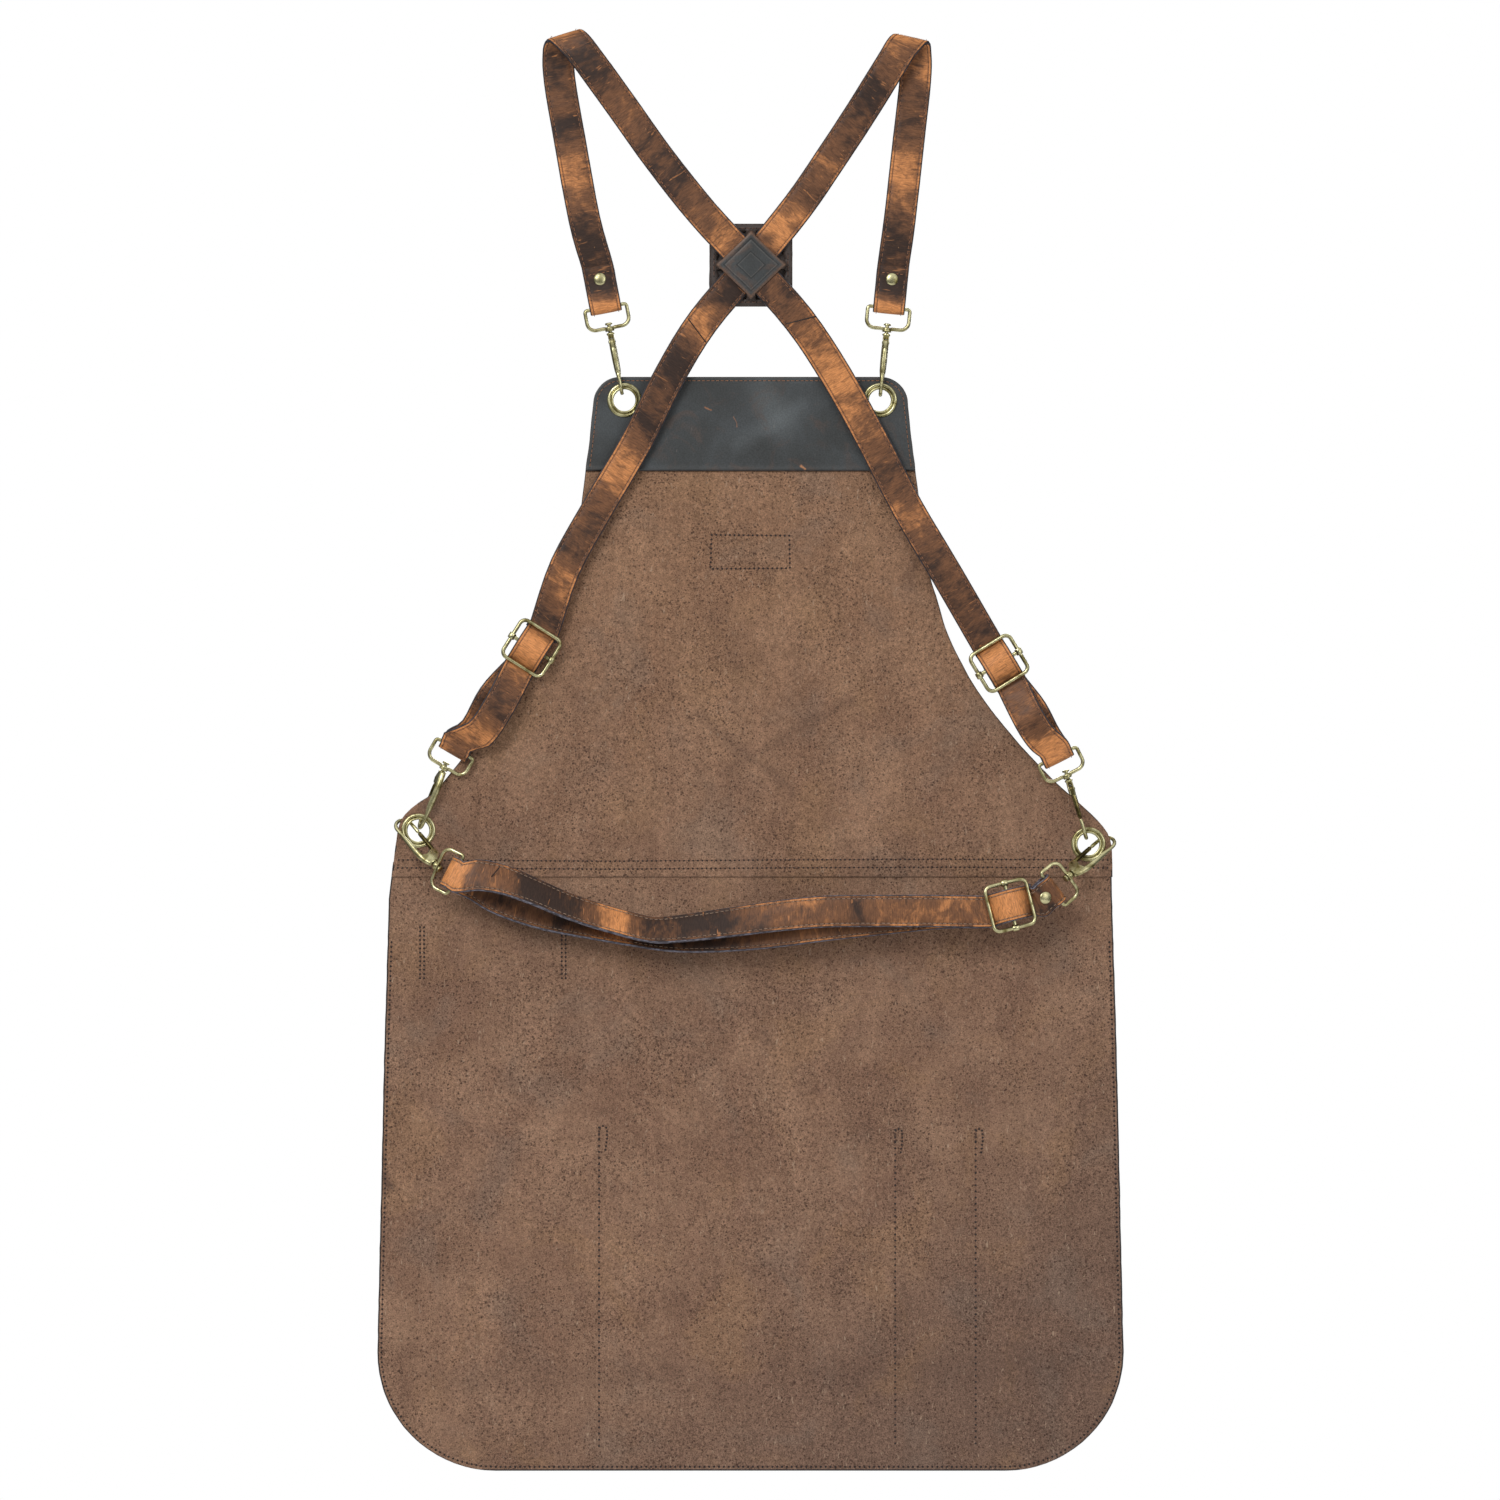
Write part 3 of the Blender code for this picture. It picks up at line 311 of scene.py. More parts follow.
def charcoal(name, worn, tooled=False):
    look = Look(name, 0.5, Specular_IOR_Level=0.35)
    haze = look.noise(17, 4, 0.6, warp=0.7)
    look.colour = look.mix(look.ramp(haze, 0.35, 0.75), rgb(50, 52, 52), rgb(64, 68, 70))
    look.marks((((12, -292), (24, -312), 22, 0.22, rgb(116, 122, 124)),
                ((-10, -330), (40, -300), 12, 0.14, rgb(110, 116, 118)),
                ((-36, -300.5), (-31, -302.5), 1.1, 0.85, rgb(150, 100, 66)),
                ((-14, -309), (-11, -317), 0.7, 0.6, rgb(140, 96, 68)),
                ((40, -349), (43, -351.5), 1.6, 0.9, rgb(186, 128, 84))), look.wobble(90, 6))
    look.stain_and_painted_light(rgb(86, 66, 55), look.ramp(look.noise(42, 5, 0.65, warp=1.0), 0.5, 0.68, 0.0, worn))
    if tooled:
        middle = (PATCH_CENTRE[0] * MM, 0, PATCH_CENTRE[1] * MM)
        away = look.vector("ABSOLUTE", look.vector("SUBTRACT", look.place, middle))
        reach = look.vector("DOT_PRODUCT", away, (1 / (DIAMOND[0] * MM), 0, 1 / (DIAMOND[1] * MM)))
        look.stain_and_painted_light(rgb(62, 49, 43), look.ramp(reach, 1.02, 1.06, 0.0, 0.8))
        # Each tooled line is a dark cut with a lighter line on its inner lip: painted shade in the cut and
        # painted highlight on the lip. The brown rubbed line is wear on the diamond's rim.
        rubbed, cut, lip_highlight = rgb(106, 78, 60), rgb(28, 28, 28), rgb(96, 92, 88)
        slight = look.wobble(60, 1.2)
        for line in ((0.97, 2.2, 0.65, rubbed), (0.8, 0.7, 0.8, cut), (0.74, 0.5, 0.5, lip_highlight),
                     (0.42, 0.7, 0.8, cut), (0.37, 0.4, 0.5, lip_highlight)):
            look.marks(diamond_lines(*line), slight)
    fine = look.noise(800, 3, 0.65)
    look.shade(look.ramp(fine), 0.84, 1.16)
    scratch = look.noise(1.0, 2, 0.5, stretch=(420, 60, 90), warp=1.4)
    look.stain_and_painted_light(rgb(110, 102, 96), look.ramp(scratch, 0.7, 0.77, 0.0, 0.3))
    return look.finish((fine, 0.35, 0.15), (look.noise(220, 3), 0.2, 0.3),
                       roughness=look.ramp(haze, 0.3, 0.7, 0.42, 0.58))


def burnished(name, dark, light):
    look = Look(name, 0.45, Specular_IOR_Level=0.4)
    look.colour = look.mix(look.ramp(look.noise(300, 3, stretch=(1, 2.5, 1)), 0.35), dark, light)
    return look.finish((look.noise(900, 3, 0.6), 0.4, 0.15))


def thread(name, dark, light):
    look = Look(name, 0.75, Sheen_Weight=0.1)
    twist = look.noise(1300, 2)
    look.colour = look.mix(look.ramp(twist, 0.35, 0.65), dark, light)
    return look.finish((twist, 0.5, 0.1))


def brass(name, dark, light, share):
    look = Look(name, 0.3, Metallic=1.0)
    patina = look.noise(110, 4, 0.6, warp=0.5)
    look.colour = look.mix(look.ramp(patina, share - 0.16, share + 0.16), dark, light)
    look.shade(look.noise(1500, 2), 0.85, 1.15)
    return look.finish((look.noise(420, 3), 0.12, 0.1), roughness=look.ramp(patina, 0.3, 0.7, 0.4, 0.24))


def steel():
    look = Look("spring_steel_look", 0.32, Metallic=1.0)
    fine = look.noise(1.0, 2, stretch=(300, 300, 3000))
    look.colour = look.mix(look.ramp(fine), rgb(120, 120, 116), rgb(170, 168, 160))
    return look.finish((fine, 0.1, 0.05))


TAN, MIDDLE, DARK = rgb(198, 132, 80), rgb(108, 72, 48), rgb(50, 35, 28)
LOOKS = {
    "suede": suede(),
    "grain": pull_up("grain_leather", rgb(74, 50, 38), rgb(112, 74, 50), rgb(150, 102, 68)),
    "strap": pull_up("strap_leather", DARK, MIDDLE, TAN, route=True),
    "label": pull_up("label_leather", rgb(92, 62, 44), rgb(140, 94, 62), rgb(176, 124, 84)),
    "facing": charcoal("facing_leather", 0.35),
    "patch": charcoal("patch_leather", 0.7, tooled=True),
    "panel_edge": burnished("panel_edge", rgb(30, 24, 22), rgb(58, 46, 42)),
    "strap_edge": burnished("strap_edge", rgb(34, 32, 36), rgb(66, 64, 74)),
    "waist_edge": burnished("waist_edge", rgb(50, 48, 56), rgb(122, 120, 132)),
    # Needle holes: dark domes of painted shade for the holes' depth. The splice lines use this look too.
    "hole": burnished("needle_hole", rgb(26, 18, 15), rgb(44, 30, 24)),
    "tan_thread": thread("tan_thread", rgb(104, 66, 44), rgb(156, 104, 68)),
    "grey_thread": thread("grey_thread", rgb(112, 88, 70), rgb(160, 132, 108)),
    "light_thread": thread("light_thread", rgb(176, 134, 96), rgb(222, 184, 140)),
    "brown_thread": thread("brown_thread", rgb(84, 56, 44), rgb(112, 78, 60)),
    "brass": brass("antique_brass_look", rgb(112, 102, 58), rgb(202, 196, 152), 0.44),
    "dark_brass": brass("dark_brass_look", rgb(64, 56, 32), rgb(138, 126, 80), 0.55),
    "steel": steel(),
}


# --- Mesh helpers -------------------------------------------------------------------------


def smooth(points, steps):
    """A Catmull-Rom curve through points of any dimension, as tuples."""
    ends = [points[0], *points, points[-1]]
    out = []
    for a, b, c, d in zip(ends, ends[1:], ends[2:], ends[3:]):
        for t in (i / steps for i in range(steps)):
            out.append(tuple(0.5 * (2 * q + (r - p) * t + (2 * p - 5 * q + 4 * r - s) * t * t
                                    + (3 * q - p - 3 * r + s) * t ** 3)
                             for p, q, r, s in zip(a, b, c, d)))
    return [*out, tuple(points[-1])]


def arc(centre, radius, start, end, steps):
    turns = [math.radians(start + (end - start) * i / steps) for i in range(steps + 1)]
    return [(centre[0] + radius * math.cos(t), centre[1] + radius * math.sin(t)) for t in turns]


def outward(obj):
    """Turns every closed shell's faces outwards."""
    shape = bmesh.new()
    shape.from_mesh(obj.data)
    bmesh.ops.recalc_face_normals(shape, faces=shape.faces)
    shape.to_mesh(obj.data)
    shape.free()
    return obj


def new_object(name, vertices, faces, looks):
    """A smooth, closed mesh object from millimetre vertices and faces, with its materials by name."""
    mesh = bpy.data.meshes.new(name)
    mesh.from_pydata([tuple(c * MM for c in v) for v in vertices], [], faces)
    obj = bpy.data.objects.new(name, mesh)
    bpy.context.scene.collection.objects.link(obj)
    for key in looks:
        mesh.materials.append(LOOKS[key])
    mesh.shade_smooth()
    return outward(obj)


def loft(rings, closed=False):
    """Vertices and faces of a skin over rings of points, with flat ends unless it is closed."""
    count, total = len(rings[0]), len(rings)
    faces = []
    for i in range(total if closed else total - 1):
        a, b = i * count, (i + 1) % total * count
        faces += [(a + k, a + (k + 1) % count, b + (k + 1) % count, b + k) for k in range(count)]
    if not closed:
        faces += [tuple(range(count))[::-1], tuple((total - 1) * count + k for k in range(count))]
    return [p for ring in rings for p in ring], faces


def prism(outline, levels):
    return loft([[(x, y, z) for x, y in outline] for z in levels])


def tube(points, radius, sides=12, closed=False):
    """A round wire along points."""
    points = [Vector(p) for p in points]
    rings, last = [], None
    for i, point in enumerate(points):
        before = points[i - 1] if i or closed else point
        after = points[(i + 1) % len(points)] if i + 1 < len(points) or closed else point
        along = (after - before).normalized()
        if last is None:
            last = Vector((0, 0, 1)) if abs(along.z) < 0.9 else Vector((1, 0, 0))
        up = (last - last.dot(along) * along).normalized()
        side = along.cross(up)
        last = up
        turns = [2 * math.pi * k / sides for k in range(sides)]
        rings.append([point + radius * (math.cos(t) * side + math.sin(t) * up) for t in turns])
    return loft(rings, closed)


def turned(profile, steps=32, closed=True):
    """A profile of (radius, height) turned about Z. An open profile starts and ends on the axis."""
    points = profile if closed else profile[1:-1]
    turns = [2 * math.pi * k / steps for k in range(steps)]
    vertices = [(r * math.cos(t), r * math.sin(t), h) for t in turns for r, h in points]
    count, faces = len(points), []
    top, bottom = steps * count, steps * count + 1
    for k in range(steps):
        a, b = k * count, (k + 1) % steps * count
        for i in range(count if closed else count - 1):
            j = (i + 1) % count
            faces.append((a + i, a + j, b + j, b + i))
        if not closed:
            faces += [(a, b, top), (b + count - 1, a + count - 1, bottom)]
    return vertices if closed else vertices + [(0, 0, profile[0][1]), (0, 0, profile[-1][1])], faces


def moved(shape, matrix):
    """A shape (vertices, faces) through a matrix of millimetres."""
    return [tuple(matrix @ Vector(v)) for v in shape[0]], shape[1]


def joined(shapes):
    vertices, faces = [], []
    for points, polygons in shapes:
        faces += [tuple(i + len(vertices) for i in f) for f in polygons]
        vertices += list(points)
    return vertices, faces


def basis(origin, x_axis, y_axis):
    """A matrix with local X along x_axis and local Y as near y_axis as it can be."""
    x, y = Vector(x_axis).normalized(), Vector(y_axis)
    y = (y - y.dot(x) * x).normalized()
    return Matrix.Translation(Vector(origin)) @ Matrix((x, y, x.cross(y))).transposed().to_4x4()


def facing_viewer(x, y, z):
    return Matrix.Translation((x, y, z)) @ Matrix.Rotation(math.pi / 2, 4, "X")


def place(obj, body, slot, *nodes):
    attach(obj, body)
    if nodes:
        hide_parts(*nodes)
    return obj


# --- Stitching ----------------------------------------------------------------------------


def hexagon(centre, first, second):
    turns = [k * math.pi / 3 for k in range(6)]
    return [centre + math.cos(t) * first + math.sin(t) * second for t in turns]


def stitch(point, along, up, length, depth):
    """One sunk loop of thread, whose ends dive into the leather."""
    side = up.cross(along)
    profile = ((-1, 0.12, -0.25), (-0.6, 0.27, 0.05), (0, 0.31, 0.16), (0.6, 0.27, 0.05), (1, 0.12, -0.25))
    return loft([hexagon(point + share * length / 2 * along + (lift - depth) * up, radius * side, radius * up)
                 for share, radius, lift in profile])


def needle_hole(point, along, up, radius):
    """A dark low dome where a stitch dives: painted shade standing in for the depth of the hole."""
    ring = hexagon(point, radius * 1.08 * up.cross(along), radius * along)
    faces = [(k, (k + 1) % 6, 6) for k in range(6)] + [((k + 1) % 6, k, 7) for k in range(6)]
    return ring + [point + 0.07 * up, point - 0.3 * up], faces


def stitch_row(line, normals, pitch, depth, hole):
    """Threads and holes along a line of points, each with its surface normal."""
    threads, holes, lengths = [], [], [0.0]
    line = [Vector(p) for p in line]
    for a, b in zip(line, line[1:]):
        lengths.append(lengths[-1] + (b - a).length)
    count = max(1, round(lengths[-1] / pitch))
    step = lengths[-1] / count
    index = 0
    for k in range(count + 1):
        want = min(k * step, lengths[-1] - 1e-6)
        while index < len(line) - 2 and lengths[index + 1] < want:
            index += 1
        span = lengths[index + 1] - lengths[index]
        t = (want - lengths[index]) / span if span else 0.0
        along = (line[index + 1] - line[index]).normalized()
        up = Vector(normals[index]).lerp(Vector(normals[min(index + 1, len(normals) - 1)]), t).normalized()
        here = line[index].lerp(line[index + 1], t)
        holes.append(needle_hole(here, along, up, hole))
        if k < count:
            threads.append(stitch(here + along * step / 2, along, up, step * 0.86, depth))
    return threads, holes


def stitches(name, rows, look, slot):
    """All of a piece's stitching as one object, thread first and holes second."""
    threads, holes = (joined([shape for row in rows for shape in row[kind]]) for kind in (0, 1))
    obj = new_object(name, *joined([threads, holes]), [look, "hole"])
    for polygon in obj.data.polygons[len(threads[1]):]:
        polygon.material_index = 1
    return place(obj, "root", slot)


# --- Panels -------------------------------------------------------------------------------


def ripple(x, z):
    """How far the hanging leather stands out of its plane, in mm. It fades at the grommets."""
    free = 1.0
    for gx, gz, _, _ in GROMMETS.values():
        free = min(free, max(0.0, ((x - gx) ** 2 + (z - gz) ** 2) ** 0.5 / 60 - 0.4))
    free *= min(1.0, max(0.0, (BIB_TOP - z) / 90))
    return 1.3 * free * noise.noise(Vector((x / 130, z / 190, 3.7)))


def edge_at(points, height):
    """The distance from the middle to an edge at a height, for points that go down."""
    for (x0, z0), (x1, z1) in zip(points, points[1:]):
        if height >= z1:
            return x0 + (x1 - x0) * (z0 - height) / max(z0 - z1, 1e-6)
    return points[-1][0]


def rounded(half, corner, drop):
    """Half the width where a rounded corner has dropped this far from its start."""
    return half - corner + math.sqrt(max(corner ** 2 - drop ** 2, 0.0))


SHOULDER = [(BIB_TOP_HALF, BIB_TOP - BIB_CORNER)]
LEFT_CURVE = SHOULDER + smooth(ARMHOLE_LEFT, 6) + [(288.5, LAP_BOTTOM)]
RIGHT_CURVE = SHOULDER + smooth(ARMHOLE_RIGHT, 6) + [(291, LAP_BOTTOM)]


def bib_edges(height):
    if height > BIB_TOP - BIB_CORNER:
        half = rounded(BIB_TOP_HALF, BIB_CORNER, max(0.0, BIB_CORNER - (BIB_TOP - height)))
        return -half, half
    return -edge_at(LEFT_CURVE, height), edge_at(RIGHT_CURVE, height)


def skirt_half(height):
    if height < HEM_CORNER_TOP:
        return rounded(HEM_HALF, HEM_CORNER, min(HEM_CORNER_TOP - height, HEM_CORNER))
    return edge_at(SIDE_BELOW_WAIST, height)


def skirt_edges(height):
    """The skirt's side edges. Its left corner is trimmed to the bib's."""
    trim = 2.6 * max(0.0, 1 - (LAP_TOP - height) / 28)
    return trim - skirt_half(height), skirt_half(height)


def slab(name, levels, edges, front, back, looks, count=70, soften=0.55, jitter=0.35):
    """A closed leather panel from its height levels, side edges and front and back surfaces."""
    shares = [0.0, 0.002, 0.005, *[0.01 + 0.98 * i / count for i in range(count + 1)], 0.995, 0.998, 1.0]
    top, bottom = levels[0], levels[-1]
    index, vertices = {}, []
    for side, surface, sign in (("front", front, 1), ("back", back, -1)):
        for i, z in enumerate(levels):
            left, right = edges(z)
            left += jitter * noise.noise(Vector((0, z / 9, 1.3)))
            right += jitter * noise.noise(Vector((5, z / 9, 7.3)))
            for j, share in enumerate(shares):
                x = left + (right - left) * share
                rim = min(x - left, right - x, top - z, z - bottom)
                round_off = soften * max(0.0, 1 - max(rim, 0.0) / 1.6) ** 2
                index[side, i, j] = len(vertices)
                vertices.append((x, surface(x, z) + ripple(x, z) + sign * round_off, z))
    rows, columns = len(levels), len(shares)
    faces = []
    for i in range(rows - 1):
        for j in range(columns - 1):
            quad = (i, j), (i, j + 1), (i + 1, j + 1), (i + 1, j)
            faces.append(tuple(index["front", *p] for p in quad[::-1]))
            faces.append(tuple(index["back", *p] for p in quad))
    rim = [(0, j) for j in range(columns)] + [(i, columns - 1) for i in range(1, rows)]
    rim += [(rows - 1, j) for j in range(columns - 2, -1, -1)] + [(i, 0) for i in range(rows - 2, 0, -1)]
    for a, b in zip(rim, rim[1:] + rim[:1]):
        faces.append((index["front", *a], index["front", *b], index["back", *b], index["back", *a]))
    return new_object(name, vertices, faces, looks)


def cut_hole(obj, x, z):
    ring = [(9.9 * math.cos(t), 9.9 * math.sin(t)) for t in (2 * math.pi * k / 40 for k in range(40))]
    hole = new_object("hole", *moved(prism(ring, (-12, 12)), facing_viewer(x, 0, z)), [])
    step = obj.modifiers.new("hole", "BOOLEAN")
    step.solver = "EXACT"
    step.object = hole
    graph = bpy.context.evaluated_depsgraph_get()
    mesh = bpy.data.meshes.new_from_object(obj.evaluated_get(graph))
    obj.modifiers.clear()
    obj.data = mesh
    bpy.data.objects.remove(hole, do_unlink=True)


def face_looks(obj, edges, top, bottom, border):
    """Front faces take material 0, back faces 1, and the cut edge with its burnished border 2."""
    for polygon in obj.data.polygons:
        y = polygon.normal.y
        x, _, z = polygon.center / MM
        left, right = edges(z)
        rim = min(x - left, right - x, top - z, z - bottom)
        polygon.material_index = 2 if rim < border or abs(y) < 0.55 else 0 if y < 0 else 1


def levels_between(top, bottom, step, fine=()):
    count = round((top - bottom) / step)
    out = {round(top - (top - bottom) * i / count, 3) for i in range(count + 1)}
    out |= {top - d for d in (0.5, 1.2, 2.2)} | {bottom + d for d in (0.5, 1.2, 2.2)} | set(fine)
    return sorted(out, reverse=True)


def corner_levels(top, corner, down=True, steps=14):
    """Heights that follow a rounded corner evenly."""
    turns = [math.pi / 2 * i / steps for i in range(1, steps)]
    return [round(top - corner * (1 - math.cos(t) if down else math.sin(t)), 3) for t in turns]


BIB_CORNER_LEVELS = corner_levels(BIB_TOP, BIB_CORNER)
HEM_LEVELS = corner_levels(HEM_CORNER_TOP, HEM_CORNER, False, 18)


def make_panel(name, levels, edges, front, back, node, slot="suede_leather", bottom=None, border=0.9,
               looks=("suede", "grain"), holes=(), **shape):
    """A leather panel, and its area in square metres."""
    obj = slab(name, levels, edges, front, back, [*looks, "panel_edge"], **shape)
    for x, z, _, _ in holes:
        cut_hole(obj, x, z)
    face_looks(obj, edges, levels[0], levels[-1] if bottom is None else bottom, border)
    area = 0.0
    for z0, z1 in zip(levels, levels[1:]):
        left, right = edges((z0 + z1) / 2)
        area += (right - left) * (z0 - z1) * MM * MM
    return place(obj, "root", slot, node), area


def bib_front(x, z):
    """The bib's face, which falls back where its lower edge is pared thin."""
    return BIB_FRONT + 0.9 * min(1.0, max(0.0, (LAP_TOP + 3 - z) / (LAP_TOP + 3 - LAP_BOTTOM)))


def skirt_front(x, z):
    return SKIRT_FRONT


def facing_front(x, z):
    """The facing's face, with a rolled lower edge."""
    return -3.6 - 0.8 * math.exp(-((z - FACING_BOTTOM - 1.6) / 1.3) ** 2)


def make_panels():
    bib = make_panel("bib_panel_leather", levels_between(BIB_TOP, LAP_BOTTOM, 5.0, BIB_CORNER_LEVELS),
                     bib_edges, bib_front, lambda x, z: BIB_BACK, "bib_panel", bottom=HEM, border=0.6,
                     holes=GROMMETS.values())
    skirt = make_panel("skirt_panel_leather", levels_between(LAP_TOP, HEM, 6.0, HEM_LEVELS),
                       skirt_edges, skirt_front, lambda x, z: SKIRT_BACK, "skirt_panel")
    levels = levels_between(BIB_TOP, FACING_BOTTOM, 3.0, BIB_CORNER_LEVELS)
    levels = sorted({*levels, *[FACING_BOTTOM + d for d in (0.4, 0.8, 1.6, 2.4, 3.2, 4.2)]}, reverse=True)
    facing = make_panel("bib_facing_leather", levels, bib_edges, facing_front, lambda x, z: -2.3,
                        "bib_facing", "dark_leather", border=0.7, looks=("facing", "facing"),
                        holes=[GROMMETS["bib_left"], GROMMETS["bib_right"]], soften=0.35)
    return bib, skirt, facing


def surface_row(points, front, pitch, depth, hole, back=False, spacing=5.0):
    """A stitch row over a panel through (x, z) points."""
    line = []
    for (x0, z0), (x1, z1) in zip(points, points[1:]):
        count = max(1, round(math.hypot(x1 - x0, z1 - z0) / spacing))
        line += [(x0 + (x1 - x0) * i / count, z0 + (z1 - z0) * i / count) for i in range(count)]
    line = [(x, front(x, z) + ripple(x, z), z) for x, z in [*line, points[-1]]]
    return stitch_row(line, [(0, 1 if back else -1, 0)] * len(line), pitch, depth, hole)


def edge_line(edges, levels, inset, side):
    """A line inside one side edge of a panel."""
    return [(edges(z)[side] + (inset if side == 0 else -inset), z) for z in levels]


def hem_line(inset):
    half, radius = HEM_HALF - HEM_CORNER, HEM_CORNER - inset
    return (arc((-half, HEM_CORNER_TOP), radius, 180, 270, 14)
            + arc((half, HEM_CORNER_TOP), radius, 270, 360, 14))


def horseshoe(x, z, radius):
    return [(x - radius, z - 9)] + arc((x, z - 2), radius, 180, 0, 8) + [(x + radius, z - 9)]


def make_panel_stitches():
    """The suede side's rows, with their open holes, and the row round the facing."""
    rows = []

    def sew(points, front, pitch, **more):
        rows.append(surface_row(points, front, pitch, 0.2, 0.95, **more))

    for z in (LAP_TOP + 1.8, LAP_TOP - 4.6):
        left, right = bib_edges(z)
        sew([(left + 4, z), (-110, z - 1.0), (20, z), (150, z + 0.6), (right - 4, z)], bib_front, 3.7)
    wide, high = 31.2, 13.4
    sew([(-wide, LABEL_Z + high), (wide, LABEL_Z + high - 0.6), (wide + 0.5, LABEL_Z - high),
         (-wide - 1, LABEL_Z - high - 0.4), (-wide, LABEL_Z + high)], bib_front, 3.7)
    for side in (0, 1):
        sew(edge_line(skirt_edges, levels_between(-731.0, HEM_CORNER_TOP, 12), 3.2, side), skirt_front, 3.9)
    sew(hem_line(3.2), skirt_front, 3.9)
    for x, top, bottom, gap in ((-121.8, POCKET_TOP + 2, -1136, 6.4), (116.4, POCKET_TOP, -1134, 5.6),
                                (181.0, POCKET_TOP, -1134, 5.6)):
        sew([(x, top), (x, bottom)], skirt_front, 4.9)
        sew([(x + gap, top - 9), (x + gap * 0.8, top - 18)], skirt_front, 3.4)
        sew(horseshoe(x + gap / 2, top, gap / 2), skirt_front, 3.0, spacing=2.0)
    for x in TOOL_LOOP_SEAMS:
        sew([(x, -719), (x, -760)], skirt_front, 3.5)
    panel = stitches("panel_stitches", rows, "brown_thread", "suede_leather")
    sides = levels_between(BIB_TOP - BIB_CORNER, FACING_BOTTOM + 3, 9)
    lines = [[(-104, BIB_TOP - 3.1), (104, BIB_TOP - 3.1)]]
    for side, x, end in ((0, -104.5, 180), (1, 104.5, 0)):
        corner = arc((x, BIB_TOP - BIB_CORNER), BIB_CORNER - 3.1, 90, end, 8)
        lines.append(corner + edge_line(bib_edges, sides, 3.1, side))
    rows = [surface_row(line, facing_front, 3.8, 0.02, 0.42) for line in lines]
    return panel, stitches("facing_stitches", rows, "tan_thread", "dark_leather")


# --- Grain side ---------------------------------------------------------------------------


def pocket_depth(x):
    """How far the pocket panel stands off its seams, before it fades towards the hem."""
    half = skirt_half(POCKET_TOP)
    borders = [-half, *POCKET_SEAMS, half]
    index = sum(x > seam for seam in POCKET_SEAMS)
    left, right = borders[index:index + 2]
    share = min(1.0, max(0.0, (x - left) / (right - left)))
    return POCKET_BULGE * (0.7 if index > 1 else 1.0) * math.sin(math.pi * share) ** 0.8


def pocket_outer(x, z):
    return POCKET_Y + 1.0 + pocket_depth(x) * max(0.0, min(1.0, (z + 1130) / 120))


def pocket_edges(z):
    half = skirt_half(z) - 1.0
    return -half, half


def make_pockets():
    levels = levels_between(POCKET_TOP, HEM + 5, 7.0, [z for z in HEM_LEVELS if z > HEM + 6])
    make_panel("pocket_panel_leather", levels, pocket_edges, lambda x, z: pocket_outer(x, z) - 2.0,
               pocket_outer, "pocket_panel", "grain_leather", count=110)
    half = HEM_HALF - HEM_CORNER + 80
    sides = levels_between(POCKET_TOP - 3, HEM_CORNER_TOP, 12)
    lines = [([(x + gap, POCKET_TOP - 2), (x + gap, -1150)], 3.8) for x in POCKET_SEAMS for gap in (-2, 2)]
    lines.append((hem_line(5.6), 3.9))
    lines += [(edge_line(pocket_edges, sides, 4.6, side), 3.9) for side in (0, 1)]
    lines.append(([(half * (i / 40 - 1), POCKET_TOP - 3.4) for i in range(81)], 3.9))
    rows = [surface_row(line, pocket_outer, pitch, 0.05, 0.42, back=True) for line, pitch in lines]
    stitches("pocket_stitches", rows, "light_thread", "grain_leather")


def make_tool_loop():
    """The bowed strip, and its stitch rows."""
    x0, x1 = TOOL_LOOP_X
    flat, top = POCKET_Y - 0.1, POCKET_Y + TOOL_LOOP_RISE
    middle = (flat + top) / 2
    line = smooth([(x0, flat), (x0 + 9, flat), (x0 + 24, middle), (x0 + 45, top),
                   (x1 - 45, top), (x1 - 24, middle), (x1 - 9, flat), (x1, flat)], 8)
    low, high = TOOL_LOOP_Z - TOOL_LOOP_HEIGHT / 2, TOOL_LOOP_Z + TOOL_LOOP_HEIGHT / 2
    half_section = [(low, 0.5), (low + 0.5, 1), (high - 0.5, 1), (high, 0.5)]
    section = [(z, -o) for z, o in half_section] + half_section[::-1]
    rings = []
    for i, (x, y) in enumerate(line):
        along = (Vector(line[min(i + 1, len(line) - 1)]) - Vector(line[max(i - 1, 0)])).normalized()
        rings.append([(x - along.y * o, y + along.x * o, z) for z, o in section])
    obj = new_object("tool_loop_leather", *loft(rings), ["grain", "panel_edge"])
    for polygon in obj.data.polygons:
        polygon.material_index = int(abs(polygon.normal.z) > 0.4 or abs(polygon.normal.x) > 0.95)
    place(obj, "root", "grain_leather", "tool_loop")
    return [stitch_row([(x, POCKET_Y + 0.9, z) for z in (high - 3, low + 3)], [(0, 1, 0)] * 2, 3.5, 0.05, 0.42)
            for x in TOOL_LOOP_SEAMS]


def make_label():
    """The chest label, and its stitch row."""
    wide, tall = LABEL_HALF
    outline = []
    for sx, sz, start in ((1, 1, 90), (1, -1, 0), (-1, -1, -90), (-1, 1, 180)):
        outline += arc((sx * (wide - 4), sz * (tall - 4)), 4, start, start - 90, 6)
    rings = []
    for inset, y in ((0.3, 0.3), (0.0, 0.6), (0.0, 1.3), (0.5, 1.75), (1.2, 1.8)):
        scaled = [(x * (wide - inset) / wide, LABEL_Z + z * (tall - inset) / tall) for x, z in outline]
        rings.append([(x, y + ripple(x, z), z) for x, z in scaled])
    place(new_object("chest_label_leather", *loft(rings), ["label"]), "root", "grain_leather", "chest_label")
    corners = [(sx * (wide - 3), LABEL_Z + sz * (tall - 3))
               for sx, sz in ((1, 1), (1, -1), (-1, -1), (-1, 1), (1, 1))]
    return surface_row(corners, lambda x, z: 1.8, 3.7, 0.05, 0.42, back=True)


# --- Straps -------------------------------------------------------------------------------


